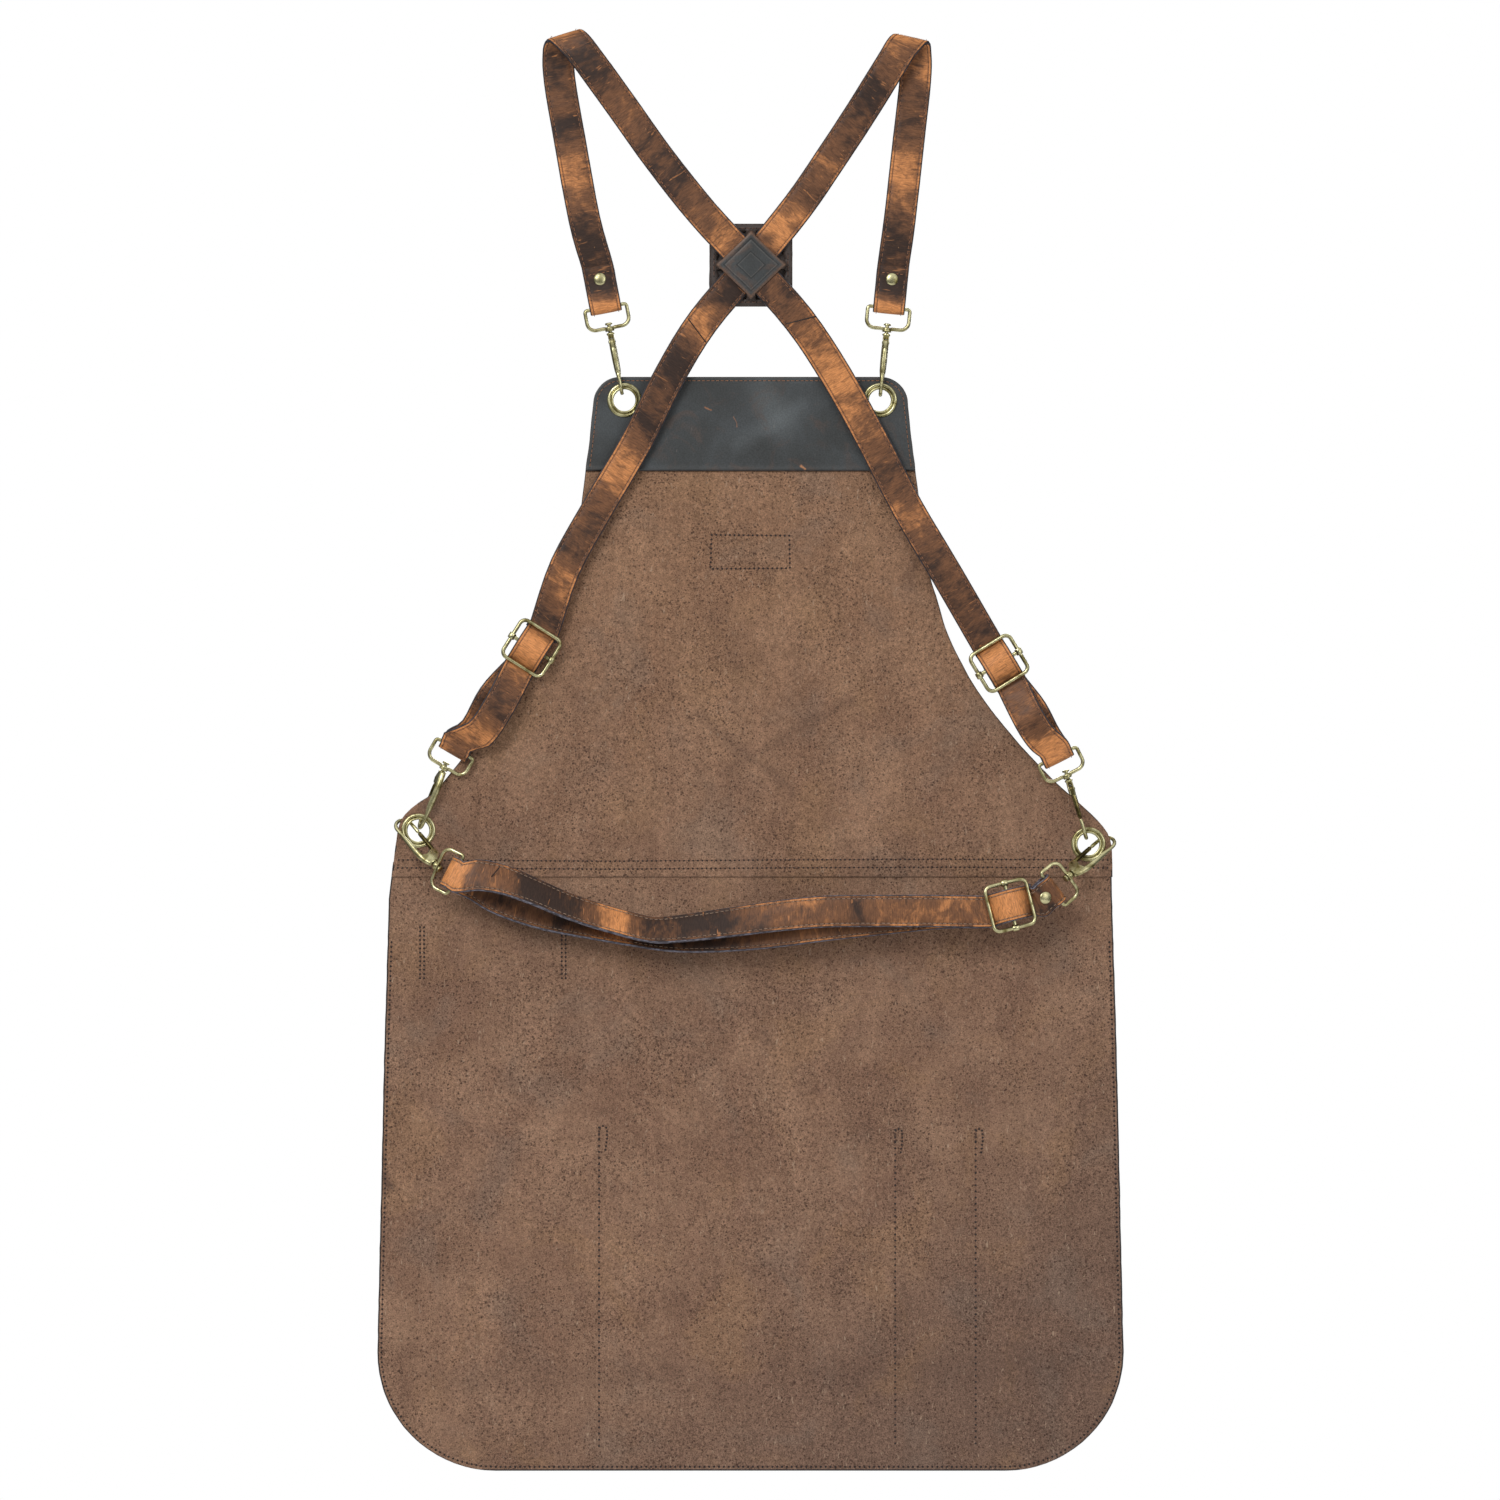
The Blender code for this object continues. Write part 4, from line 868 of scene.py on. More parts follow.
class Frame:
    """A local frame on a strap: along it, across it, and up from its face towards the viewer."""

    def __init__(self, centre, along, across):
        self.centre = Vector(centre)
        self.along = Vector(along).normalized()
        across = Vector(across)
        self.across = (across - across.dot(self.along) * self.along).normalized()
        self.up = self.along.cross(self.across).normalized()
        if self.up.y > 0:
            self.up = -self.up

    def at(self, along, up):
        """A strap station: a place, and the direction across."""
        return (*(self.centre + along * self.along + up * self.up), *self.across)

    def matrix(self):
        columns = Matrix((self.across, self.up.cross(self.across), self.up)).transposed()
        return Matrix.Translation(self.centre) @ columns.to_4x4()


def fold_round(frame, radius, first_up, steps=6):
    turns = [math.pi * i / steps for i in range(steps + 1)]
    return [frame.at(-radius * math.sin(t), first_up * radius * math.cos(t)) for t in turns]


def slider_pass(frame):
    hump = [(-20, -4.0), (-14, -2.6), (-7, 5.2), (0, 7.4), (7, 5.2), (14, -2.6), (20, -4.0)]
    return [frame.at(s, h) for s, h in hump]


def slider_return(frame):
    out = [frame.at(20, -7.7), frame.at(10, -6.2), frame.at(3, -4.0)]
    turns = [math.pi * i / 5 for i in range(6)]
    return out + [frame.at(-FOLD * math.sin(t), -FOLD * math.cos(t)) for t in turns]


def eye_frame(name, across=None):
    swivel, _, _, eye_along, bar = HOOKS[name]
    away = -Vector(eye_along).normalized()
    return Frame(Vector(swivel) + EYE_DEPTH * away, away, across or bar)


def shoulder_stations(eye, loop, slider, far_eye, far):
    flap = [(34, 1.75), (20, 1.8), (9, 2.8), (3, FOLD)]
    out = [eye.at(s, h) for s, h in flap] + fold_round(eye, FOLD, 1) + [eye.at(s, -h) for s, h in flap[::-1]]
    out += loop + slider_pass(slider) + far["out"]
    out += ([far_eye.at(7, FAR_FOLD)] + fold_round(far_eye, FAR_FOLD, 1)
            + [far_eye.at(7, -FAR_FOLD)] + far["back"])
    return out + slider_return(slider)


SLIDERS = {"shoulder_left": Frame((-175.8, -13.0, -494.6), (-0.534, 0.02, -0.846), (0.803, 0, -0.596)),
           "shoulder_right": Frame((199.6, -13.0, -506.9), (0.52, 0.02, -0.854), (0.84, 0, 0.53)),
           "waist": Frame((208.0, -35.0, -701.0), (-0.96, -0.1, -0.24), (-0.247, 0.05, 0.969))}
LEFT_LOOP = [(-133.5, -1.6, -150, 0.98, 0, 0.19), (-145.3, -0.5, -86, 0.98, 0, 0.18),
             (-153.5, 0.4, -38, 0.982, 0, 0.19), (-154, -0.6, -14, 0.97, 0, 0.25),
             (-150, -5.5, -2.5, 0.953, 0, 0.3), (-140.5, -10.4, -9.5, 0.935, 0, 0.355),
             (-127.5, -12.0, -26, 0.84, 0, 0.54), (-101.5, -12.0, -62, 0.79, 0, 0.61),
             (-73, -12.8, -102, 0.79, 0, 0.61), (-38, CROSS_NEAR, -146, 0.79, 0, 0.62),
             (0, CROSS_NEAR, -187, 0.75, 0, 0.66), (39, CROSS_NEAR, -231, 0.78, 0, 0.62),
             (69, -10.5, -276, 0.85, 0, 0.53), (98, -9.0, -328, 0.87, 0, 0.49),
             (126, -9.5, -382, 0.87, 0, 0.49), (158, -12.5, -436, 0.86, 0, 0.51)]
RIGHT_LOOP = [(120, -1.6, -150, 0.99, 0, -0.12), (127.3, -0.5, -85, 0.99, 0, -0.12),
              (132.5, 0.4, -38, 0.985, 0, -0.17), (132.5, -0.6, -16, 0.98, 0, -0.2),
              (129.5, -5.5, -5, 0.975, 0, -0.22), (121.5, -10.2, -12, 0.95, 0, -0.31),
              (111.5, -11.4, -28, 0.85, 0, -0.53), (88.5, -11.0, -65, 0.79, 0, -0.61),
              (63.5, -10.8, -103, 0.79, 0, -0.61), (38, CROSS_FAR, -140, 0.78, 0, -0.63),
              (0, CROSS_FAR, -187, 0.76, 0, -0.65), (-38, CROSS_FAR, -232, 0.78, 0, -0.62),
              (-65, -10.5, -276, 0.85, 0, -0.53), (-91, -9.0, -328, 0.86, 0, -0.51),
              (-122, -9.5, -381, 0.85, 0, -0.52), (-149, -11.8, -430, 0.84, 0, -0.54)]
FAR_LEFT = {"out": [(-200, -19, -538, 0.86, 0.1, -0.5), (-216, -18.5, -562, 0.8, 0.05, -0.58)],
            "back": [(-221, -7.5, -560, 0.8, 0.1, -0.58), (-206, -10.5, -533, 0.86, 0.1, -0.5)]}
FAR_RIGHT = {"out": [(221.5, -19, -548, 0.86, -0.1, 0.5), (232, -17.5, -565, 0.8, -0.05, 0.58)],
             "back": [(236, -7.5, -564, 0.8, -0.1, 0.58), (226, -10.5, -545, 0.86, -0.1, 0.5)]}
WAIST_FRONT = [(150, -36.5, -705.5, 0, 0.05, 1), (104, -36, -705.5, 0, 0.1, 1), (60, -35, -706, 0, 0.15, 1),
               (22, -34.5, -709.5, 0, 0.3, 0.95), (-8, -34, -713.5, 0, 0.42, 0.9),
               (-46, -33.5, -718.5, 0, 0.55, 0.83), (-74, -33, -721, 0, 0.62, 0.78),
               (-92, -33, -718, 0, 0.62, 0.78), (-126, -33, -708.5, 0, 0.62, 0.78),
               (-150, -34.5, -700, 0.05, 0.62, 0.78), (-173, -36.5, -690, 0.1, 0.58, 0.8),
               (-196, -38, -681, 0.15, 0.45, 0.86), (-216, -37.5, -677, 0.25, 0.25, 0.93)]
WAIST_BEHIND = [(-220, -18.5, -685, 0.35, 0.2, 0.9), (-205, -16.5, -695, 0.25, 0.35, 0.88),
                (-185, -16.5, -703.5, 0.15, 0.45, 0.87), (-155, -17.5, -712, 0, 0.5, 0.86),
                (-92, -20, -723, 0, 0.5, 0.86), (-64, -20.5, -727, 0, 0.5, 0.86),
                (-34, -21.5, -727, 0, 0.4, 0.92), (8, -23, -724, 0, 0.3, 0.95), (60, -24.5, -717, 0, 0.15, 1),
                (110, -26, -711.5, 0, 0.05, 1), (155, -27, -707, 0, 0.05, 1)]

# Lighter and darker places on the straps: x, z, radius and tone, from -1 for dark to 1 for orange. Most are
# worn and dark patches of the leather; the brightest spots, on the humps over the slider bars and the folds
# round the hooks' eyes, are painted highlight
TONES = [
    (-155, -25, 18, -0.3), (-147, -76, 22, -0.6), (-145, -104, 17, 0.6), (-137, -132, 18, 0.25),
    (-127, -168, 22, -0.6), (-122, -202, 13, -0.5), (-119.5, -221, 9, 0.9), (-150, 1, 9, 0.4),
    (-132, -17, 22, -0.5), (-99, -58, 18, -0.1), (-91, -71, 12, 0.3), (-68, -97, 20, -0.55),
    (-50, -125, 18, -0.15), (-19, -163, 15, 0.65), (27, -214, 14, -0.45), (45, -245, 20, 0.5),
    (70, -276, 24, 0.45), (91, -299, 18, 0.3), (106, -325, 18, 0.1), (122, -350, 16, -0.4),
    (134, -375, 16, 0.2), (141, -392, 12, 0.35), (158, -424, 18, -0.45), (186, -470, 20, -0.5),
    (200, -508, 13, 0.9), (217, -540, 14, 0.05), (244, -577, 12, 0.5), (222, -556, 8, -0.4),
    (129, -30, 10, 0.3), (127, -58, 14, -0.5), (129, -84, 5, -0.5), (124, -109, 24, 0.6),
    (119, -138, 14, 0.15), (116, -168, 18, -0.55), (113, -202, 14, -0.65), (110, -221, 9, 0.85),
    (127, -3, 8, 0.4), (93, -40, 18, -0.2), (83, -58, 20, -0.5), (62, -100, 14, 0.1), (50, -120, 12, -0.2),
    (29, -145, 15, 0.45), (19, -166, 12, 0.6), (-17, -204, 14, -0.55), (-37, -232, 10, 0.35),
    (-48, -245, 10, 0.4), (-66, -268, 24, -0.5), (-86, -307, 20, -0.6), (-109, -338, 20, 0.55),
    (-117, -358, 14, 0.45), (-128, -385, 12, -0.25), (-140, -412, 12, -0.4), (-152, -436, 12, 0.3),
    (-168, -468, 12, -0.4), (-177, -497, 13, 0.9), (-200, -536, 14, -0.25), (-217, -566, 12, 0.35),
    (-237, -680, 12, 0.9), (-220, -674, 8, -0.2), (-181, -686, 20, -0.5), (-146, -701, 26, -0.6),
    (-111, -711, 12, 1.0), (-100, -714, 10, 0.3), (-64, -719, 30, -0.6), (-25, -715, 24, -0.45),
    (40, -706, 20, 0.1), (80, -703, 12, -0.4), (120, -701, 16, 0.2), (160, -701, 20, 0.35),
    (204, -699, 13, 0.9), (232, -693, 11, -0.4), (247, -689, 10, 0.2)]

SECTION_TOP = [(-12.85, 0.55), (-12.7, 1.0), (-12.35, 1.32), (-11.8, 1.45), (-10.7, 1.52), (-10.25, 1.36),
               (-9.95, 1.3), (-9.65, 1.36), (-9.2, 1.52), (-6.5, 1.6), (-3.2, 1.63), (0, 1.64)]


def strap_section():
    """The strap's outline as (across, up): two plies with soft edges and sunk stitch lines."""
    top = SECTION_TOP + [(-v, w) for v, w in SECTION_TOP[-2::-1]]
    return top + [(12.6, 0.0)] + [(v, -w) for v, w in top[::-1]] + [(-12.6, 0.0)]


def strap_path(stations, steps=4):
    """Points, directions across and normals along a strap."""
    path = smooth(stations, steps)
    out = []
    for i, station in enumerate(path):
        after, before = path[min(i + 1, len(path) - 1)], path[max(i - 1, 0)]
        along = (Vector(after[:3]) - Vector(before[:3])).normalized()
        across = Vector(station[3:]).normalized()
        across /= max((across - across.dot(along) * along).length, 0.9)
        out.append((Vector(station[:3]), across, along.cross(across).normalized()))
    return out


# A strap's tone at a point: lighter where it bends, plus the TONES patches, whose brightest spots are painted
# highlight.
def tone_at(point, bend):
    tone = 0.45 * min(1.0, bend)
    for x, z, radius, amount in TONES:
        distance = ((point.x - x) ** 2 + (point.z - z) ** 2) / radius ** 2
        if distance < 6:
            tone += amount * math.exp(-distance)
    return tone


def make_strap(name, stations, edge="strap_edge", thread_look="tan_thread"):
    path, section = strap_path(stations), strap_section()
    rings, route, tones = [], [], []
    length, last = 0.0, path[0][0]
    for i, (point, across, up) in enumerate(path):
        length += (point - last).length
        last = point
        turn = path[max(i - 1, 0)][2].angle(path[min(i + 1, len(path) - 1)][2])
        wave = 0.12 * noise.noise(Vector((length / 14, 2.2, 0.5)))
        rings.append([point + across * v * (1 + wave / 14) + up * w * (1 + 0.06 * wave) for v, w in section])
        route += [c for v, w in section for c in (length * MM, v * MM, 0.03 if w > 0 else -0.03)]
        tones += [tone_at(point, turn * 1.2)] * len(section)
    obj = new_object(name + "_leather", *loft(rings), ["strap", edge])
    obj.data.attributes.new("route", "FLOAT_VECTOR", "POINT").data.foreach_set("vector", route)
    obj.data.attributes.new("tone", "FLOAT", "POINT").data.foreach_set("value", tones)
    edge_columns = {k for k, (v, _) in enumerate(section) if abs(v) > 12.2}
    for polygon in obj.data.polygons:
        columns = {i % len(section) for i in polygon.vertices}
        polygon.material_index = int(len(polygon.vertices) > 4 or columns <= edge_columns)
    place(obj, "root", "strap_leather", name)
    inset, rows = HALF_WIDTH - STITCH_INSET, []
    for side in (-1, 1):
        for face in (1, -1):
            line = [p + a * side * inset + u * face * 1.28 for p, a, u in path[3:-3]]
            rows.append(stitch_row(line, [u * face for _, _, u in path[3:-3]], STITCH_PITCH, 0.02, 0.78))
    p, a, u = path[2]
    line = [p + a * side * inset * 0.92 + u * 1.6 for side in (-1, 1)]
    rows.append(stitch_row(line, [u] * 2, 3.6, 0.12, 0.45))
    stitches(name + "_stitches", rows, thread_look, "strap_leather")
    return path


def waist_stations():
    right_eye, left_eye = eye_frame("waist_right_lower"), eye_frame("waist_left_lower", (0.36, 0.08, 0.92))
    slider = SLIDERS["waist"]
    out = [right_eye.at(14, -1.75), right_eye.at(8, -1.9), right_eye.at(5, -2.5), right_eye.at(2.5, 0.1 - FOLD)]
    out += fold_round(right_eye, FOLD, -1)
    out += [right_eye.at(2.5, FOLD - 0.1), right_eye.at(5, 2.5), right_eye.at(8, 1.9), right_eye.at(14, 1.75)]
    out += slider_pass(slider) + WAIST_FRONT
    out += [left_eye.at(6, LOOSE_FOLD)] + fold_round(left_eye, LOOSE_FOLD, 1) + [left_eye.at(6, -LOOSE_FOLD)]
    return out + WAIST_BEHIND + slider_return(slider)


def make_splice(name, start, end, path):
    """The thin cut edge where a strap's upper ply was pieced."""
    a, b = Vector((start[0], 0, start[1])), Vector((end[0], 0, end[1]))
    line = []
    for spot in (a.lerp(b, i / 10) for i in range(11)):
        near = min(path, key=lambda s: (s[0].x - spot.x) ** 2 + (s[0].z - spot.z) ** 2
                   + (0 if s[0].y < -8 else 900))
        up = near[2] if near[2].y < 0 else -near[2]
        spot.y = near[0].y
        spot.y -= (near[0] - spot).dot(up) / min(up.y, -0.3)
        line.append(spot + up * 1.55)
    place(new_object(name, *tube(line, 0.5, 8), ["hole"]), "root", "strap_leather")


def make_straps():
    left = make_strap("shoulder_strap_left", shoulder_stations(
        eye_frame("bib_left"), LEFT_LOOP, SLIDERS["shoulder_right"], eye_frame("waist_right_upper"), FAR_RIGHT))
    right = make_strap("shoulder_strap_right", shoulder_stations(
        eye_frame("bib_right"), RIGHT_LOOP, SLIDERS["shoulder_left"], eye_frame("waist_left_upper"), FAR_LEFT))
    waist = make_strap("waist_strap", waist_stations(), "waist_edge", "grey_thread")
    make_splice("splice_left", (-50.3, -229.9), (-35.8, -249.2), right)
    make_splice("splice_right", (28.1, -234.5), (52.4, -228.3), left)
    make_splice("splice_waist", (-200.6, -670.5), (-211, -682.6), waist)


# --- Crossing patch -----------------------------------------------------------------------


def diamond_edge(share):
    """A point on a unit diamond, from its top round to the right, and the matching unit square."""
    corners = [(0, 1), (1, 0), (0, -1), (-1, 0), (0, 1)]
    side = min(int(share * 4), 3)
    t = share * 4 - side
    (x0, z0), (x1, z1) = corners[side], corners[side + 1]
    x, z = x0 + (x1 - x0) * t, z0 + (z1 - z0) * t
    reach = max(abs(x), abs(z))
    return (x, z), (x / reach, z / reach)


PATCH_RINGS = [0.0, 0.2, 0.4, 0.6, 0.72, 0.76, 0.8, 0.84, 0.9, 0.955, 0.985, 1.0, 1.03, 1.06, 1.1, 1.16, 1.24]
PATCH_STEPS, PATCH_NECK, PATCH_TOP = 96, 0.105, -17.1


def patch_point(share, ring):
    """A place on the front square's face. The diamond ends at ring 1 and the square's rim is ring 1.24."""
    (cx, cz), (wide, high) = PATCH_CENTRE, DIAMOND
    (dx, dz), (sx, sz) = diamond_edge(share)
    if ring <= 1.0:
        groove = 0.35 * math.exp(-((ring - 0.78) / 0.025) ** 2)
        pillow = 0.5 * (1 - ring ** 3)
        from_corner = min(1.0, min(share * 4 % 1, 1 - share * 4 % 1) / PATCH_NECK)
        droop = 7 * max(0.0, ring - 0.95) * from_corner
        return cx + dx * wide * ring, PATCH_TOP - pillow + groove + droop, cz + dz * high * ring
    blend = min(1.0, (ring - 1.0) / 0.24)
    drop = min(1.0, (ring - 1.0) / 0.1)
    return (cx + dx * wide * (1 - blend) + sx * PATCH_HALF * blend,
            PATCH_TOP + 8.35 * drop * drop * (3 - 2 * drop),
            cz + dz * high * (1 - blend) + sz * PATCH_HALF * blend)


def make_patch_front():
    """A square whose middle diamond stands over the crossed straps, on four narrow necks."""
    total, edge = len(PATCH_RINGS), PATCH_RINGS.index(1.0)
    vertices = []
    for thickness in (0.0, 1.45):
        for ring in PATCH_RINGS:
            points = [patch_point(k / PATCH_STEPS, ring) for k in range(PATCH_STEPS)]
            vertices += [(x, y + thickness, z) for x, y, z in points]

    def corner(layer, r, k):
        return (layer * total + r) * PATCH_STEPS + k % PATCH_STEPS

    def is_kept(r, k):
        share = (k + 0.5) / PATCH_STEPS * 4 % 1
        return r < edge or r >= edge + 3 or min(share, 1 - share) < PATCH_NECK

    kept = dict.fromkeys((r, k) for r in range(total - 1) for k in range(PATCH_STEPS) if is_kept(r, k))
    faces = []
    for r, k in kept:
        n = (k + 1) % PATCH_STEPS
        quad = (r, k), (r, n), (r + 1, n), (r + 1, k)
        faces += [tuple(corner(0, *q) for q in quad), tuple(corner(1, *q) for q in quad[::-1])]
        borders = (((r - 1, k), (r, k), (r, n)), ((r + 1, k), (r + 1, n), (r + 1, k)),
                   ((r, (k - 1) % PATCH_STEPS), (r + 1, k), (r, k)), ((r, n), (r, n), (r + 1, n)))
        for other, a, b in borders:
            if other not in kept and other[0] >= 0:
                faces.append((corner(0, *a), corner(0, *b), corner(1, *b), corner(1, *a)))
    obj = new_object("patch_front_leather", vertices, faces, ["patch", "panel_edge"])
    shape = bmesh.new()
    shape.from_mesh(obj.data)
    bmesh.ops.remove_doubles(shape, verts=shape.verts, dist=1e-6)
    bmesh.ops.delete(shape, geom=[v for v in shape.verts if not v.link_faces], context="VERTS")
    shape.to_mesh(obj.data)
    shape.free()
    place(outward(obj), "root", "dark_leather", "patch_front")


def make_patch():
    make_patch_front()
    cx, cz = PATCH_CENTRE
    make_panel("patch_back_leather", levels_between(cz + PATCH_HALF, cz - PATCH_HALF, 6),
               lambda z: (cx - PATCH_HALF, cx + PATCH_HALF), lambda x, z: -6.95, lambda x, z: -5.5,
               "patch_back", "dark_leather", looks=("patch", "patch"), count=12, jitter=0.6)
    reach = PATCH_HALF - 3.6
    rows = []
    for sx, sz in ((0, 1), (1, 0), (0, -1), (-1, 0)):
        x, z = cx + sx * reach, cz + sz * reach
        ends = [(x + s * 9 * abs(sz), -8.85, z + s * 9 * abs(sx)) for s in (-1, 1)]
        rows.append(stitch_row(ends, [(0, -1, 0)] * 2, 4.2, 0.05, 0.5))
    corners = [(cx + sx * reach, -5.45, cz + sz * reach)
               for sx, sz in ((1, 1), (1, -1), (-1, -1), (-1, 1), (1, 1))]
    rows.append(stitch_row(corners, [(0, 1, 0)] * 5, 4.2, 0.05, 0.5))
    stitches("patch_stitches", rows, "brown_thread", "dark_leather")


# --- Metal --------------------------------------------------------------------------------


def metal(name, shape, body, node, look="brass", sharp=50.0):
    obj = new_object(name, *shape, [look])
    obj.data.set_sharp_from_angle(angle=math.radians(sharp))
    place(obj, body, "antique_brass", node)


def make_grommets():
    for name, (x, z, front, stack) in GROMMETS.items():
        back = -stack
        outer, inner = arc((12.45, 0.05), 1.45, -5, 190, 12), arc((9.72, 0.15), 0.95, 20, 180, 8)
        profile = [(13.85, 0.15)] + [(r, h * (0.95 if h > 0 else 0.2)) for r, h in outer] + inner
        profile += [(GROMMET_HOLE, back - 0.9), (9.4, back - 1.3), (10.6, back - 1.2), (10.8, back - 0.85),
                    (GROMMET_BARREL, back - 0.85), (GROMMET_BARREL, 0.12)]
        washer = [(r, back - h) for r, h in ((LEATHER_HOLE + 0.2, 0.2), (13.4, 0.2), (13.3, 0.5), (12.9, 0.68),
                                             (11.0, 0.72), (LEATHER_HOLE + 0.2, 0.62))]
        matrix = facing_viewer(x, front, z)
        metal(f"grommet_{name}_ring", moved(turned(profile, 56), matrix), "root", f"grommet_{name}", sharp=70)
        metal(f"grommet_washer_{name}_ring", moved(turned(washer, 48), matrix), "root",
              f"grommet_washer_{name}")


def make_rivet(name, eye, along, half):
    cap = [(0, 1.65), (1.4, 1.6), (2.8, 1.42), (4.0, 1.08), (4.75, 0.62), (5.0, 0.3), (4.9, 0.16), (1.5, 0.2)]
    tail = [(1.5, 0.2), (4.9, 0.2), (5.0, 0.4), (4.6, 0.85), (3.2, 1.2), (0, 1.4)]
    profile = [(r, half + h) for r, h in cap] + [(r, -half - h) for r, h in tail]
    matrix = Frame(eye.at(along, 0)[:3], eye.along, eye.across).matrix()
    metal(f"{name}_caps", moved(turned(profile, 32, closed=False), matrix), "root", name, sharp=75)


def make_slider(name, frame):
    half_across, half_along, corner = SLIDER_ACROSS / 2, SLIDER_ALONG / 2, 5.0
    loop = []
    for sx, sy, start in ((1, 1, 0), (-1, 1, 90), (-1, -1, 180), (1, -1, 270)):
        loop += arc((sx * (half_across - corner), sy * (half_along - corner)), corner, start, start + 90, 8)
    ring = tube([(x, y, 0) for x, y in loop], SLIDER_WIRE, 16, closed=True)
    inner, outer = SLIDER_WIRE - 0.05, SLIDER_WIRE + 0.16
    seam = moved(turned([(inner, -0.35), (inner, 0.35), (outer, 0.25), (outer, -0.25)], 20),
                 Matrix.Translation((-3.5, -half_along, 0)) @ Matrix.Rotation(math.pi / 2, 4, "Y"))
    bar = tube([(-half_across + 1.5 + i * (SLIDER_ACROSS - 3) / 8, 0, 0) for i in range(9)], SLIDER_WIRE, 16)
    claw = turned([(SLIDER_WIRE + 0.12, -2.5), (SLIDER_WIRE + 0.12, 2.5), (2.5, 2.55), (2.85, 2.1), (2.9, 0),
                   (2.85, -2.1), (2.5, -2.55)], 24)
    claws = [moved(claw, facing_viewer(side * half_across, 0, 0)) for side in (-1, 1)]
    for kind, end, shapes in (("frame", "wire", [ring, seam]), ("bar", "bar", [bar, *claws])):
        metal(f"slider_{kind}_{name}_{end}", moved(joined(shapes), frame.matrix()), "root",
              f"slider_{kind}_{name}")


def superellipse(half_y, half_z, power, steps=16):
    turns = [2 * math.pi * k / steps for k in range(steps)]
    return [tuple(math.copysign(abs(c) ** (2 / power) * half, c)
                  for c, half in ((math.cos(t), half_y), (math.sin(t), half_z))) for t in turns]


def hook_body_shape():
    """The cast body: a slotted head, a ridged spine, a round bow and its nose."""
    spine = [(4.4, -3.2, 2.4, 2.4), (9.0, -5.1, 2.8, 2.6), (14.0, -6.4, 2.6, 2.75), (19.0, -6.9, 2.4, 2.75),
             (26.0, -7.1, 2.05, 2.7), (33.0, -7.2, 1.65, 2.5), (38.0, -7.2, 1.5, 1.8), (41.0, -7.2, 1.48, 1.5)]
    bow = (arc((BOW_START, 0), RING_HALF, -90, 90, 16)
           + [(BOW_START - 4, RING_HALF), (NOSE_END + 0.5, RING_HALF)])
    sections = spine + [(x, y, BOW_WIRE, BOW_WIRE) for x, y in bow] + [(NOSE_END, RING_HALF, 1.2, 1.2)]
    rings = []
    for i, (x, y, half_y, half_z) in enumerate(sections):
        before, after = sections[max(i - 1, 0)], sections[min(i + 1, len(sections) - 1)]
        along = Vector((after[0] - before[0], after[1] - before[1])).normalized()
        outline = superellipse(half_y, half_z, 1.7 if i < len(spine) else 2.0)
        rings.append([(x - along.y * a, y + along.x * a, b) for a, b in outline])
    head = [(3.2, -2.8), (5.0, -4.6), (8.0, -6.2), (13.0, -7.4), (13.0, -4.6), (12.4, -1.0), (13.2, 1.0),
            (14.6, 3.6), (15.0, 6.0), (14.2, 7.9), (12.2, 8.5), (9.2, 8.2), (7.2, 6.6), (5.4, 4.2), (3.2, 2.8)]
    middle = Vector((sum(p[0] for p in head), sum(p[1] for p in head))) / len(head)
    shapes = [loft(rings)]
    for low, high in ((SLOT / 2, HEAD_THICK / 2), (-HEAD_THICK / 2, -SLOT / 2)):
        cheek = []
        for inset, z in ((0.5, low), (0.0, low + 0.25), (0.0, high - 0.25), (0.5, high)):
            scaled = [middle + (Vector(p) - middle) * (1 - inset / 7) for p in head]
            cheek.append([(p.x, p.y, z) for p in scaled])
        shapes.append(loft(cheek))
    web = [(3.3, -2.8), (5.1, -4.4), (8.0, -6.0), (12.8, -7.1),
           (12.6, -4.2), (9.0, 0.8), (6.0, 1.6), (3.4, 2.6)]
    shapes.append(prism(web, (-SLOT / 2 - 0.1, SLOT / 2 + 0.1)))
    post = [(0, -5.35), (2.4, -5.3), (2.85, -5.0), (2.9, -3.9), (2.6, -3.6), (POST, -3.55), (POST, 2.4),
            (2.3, 2.7), (3.1, 3.1), (3.3, 3.8), (3.0, 4.6), (0, 4.8)]
    shapes.append(moved(turned(post, 20, closed=False), Matrix.Rotation(math.pi / 2, 4, "Y")))
    return joined(shapes)


def hook_gate_shape():
    """The sprung gate: a bar on a tongue round the pivot."""
    line = [(15.0, 7.0, 1.45, 1.0), (16.4, 7.15, 1.5, 1.6), (18.0, 7.2, 1.52, 1.78), (25.0, 7.2, 1.5, 1.78),
            (31.0, 7.2, 1.45, 1.75), (33.6, 7.2, 1.4, 1.65), (34.5, 7.2, 1.2, 1.4), (34.9, 7.2, 0.8, 1.0)]
    bar = loft([[(x, y + a, b) for a, b in superellipse(half_y, half_z, 3.0)] for x, y, half_y, half_z in line])
    tongue = [(15.6, 8.3), (13.4, 8.45)] + arc(PIVOT, 2.4, 90, 270, 10) + [(13.4, 4.7), (15.6, 5.6)]
    return joined([bar, prism(tongue, (-1.12, 1.12))])


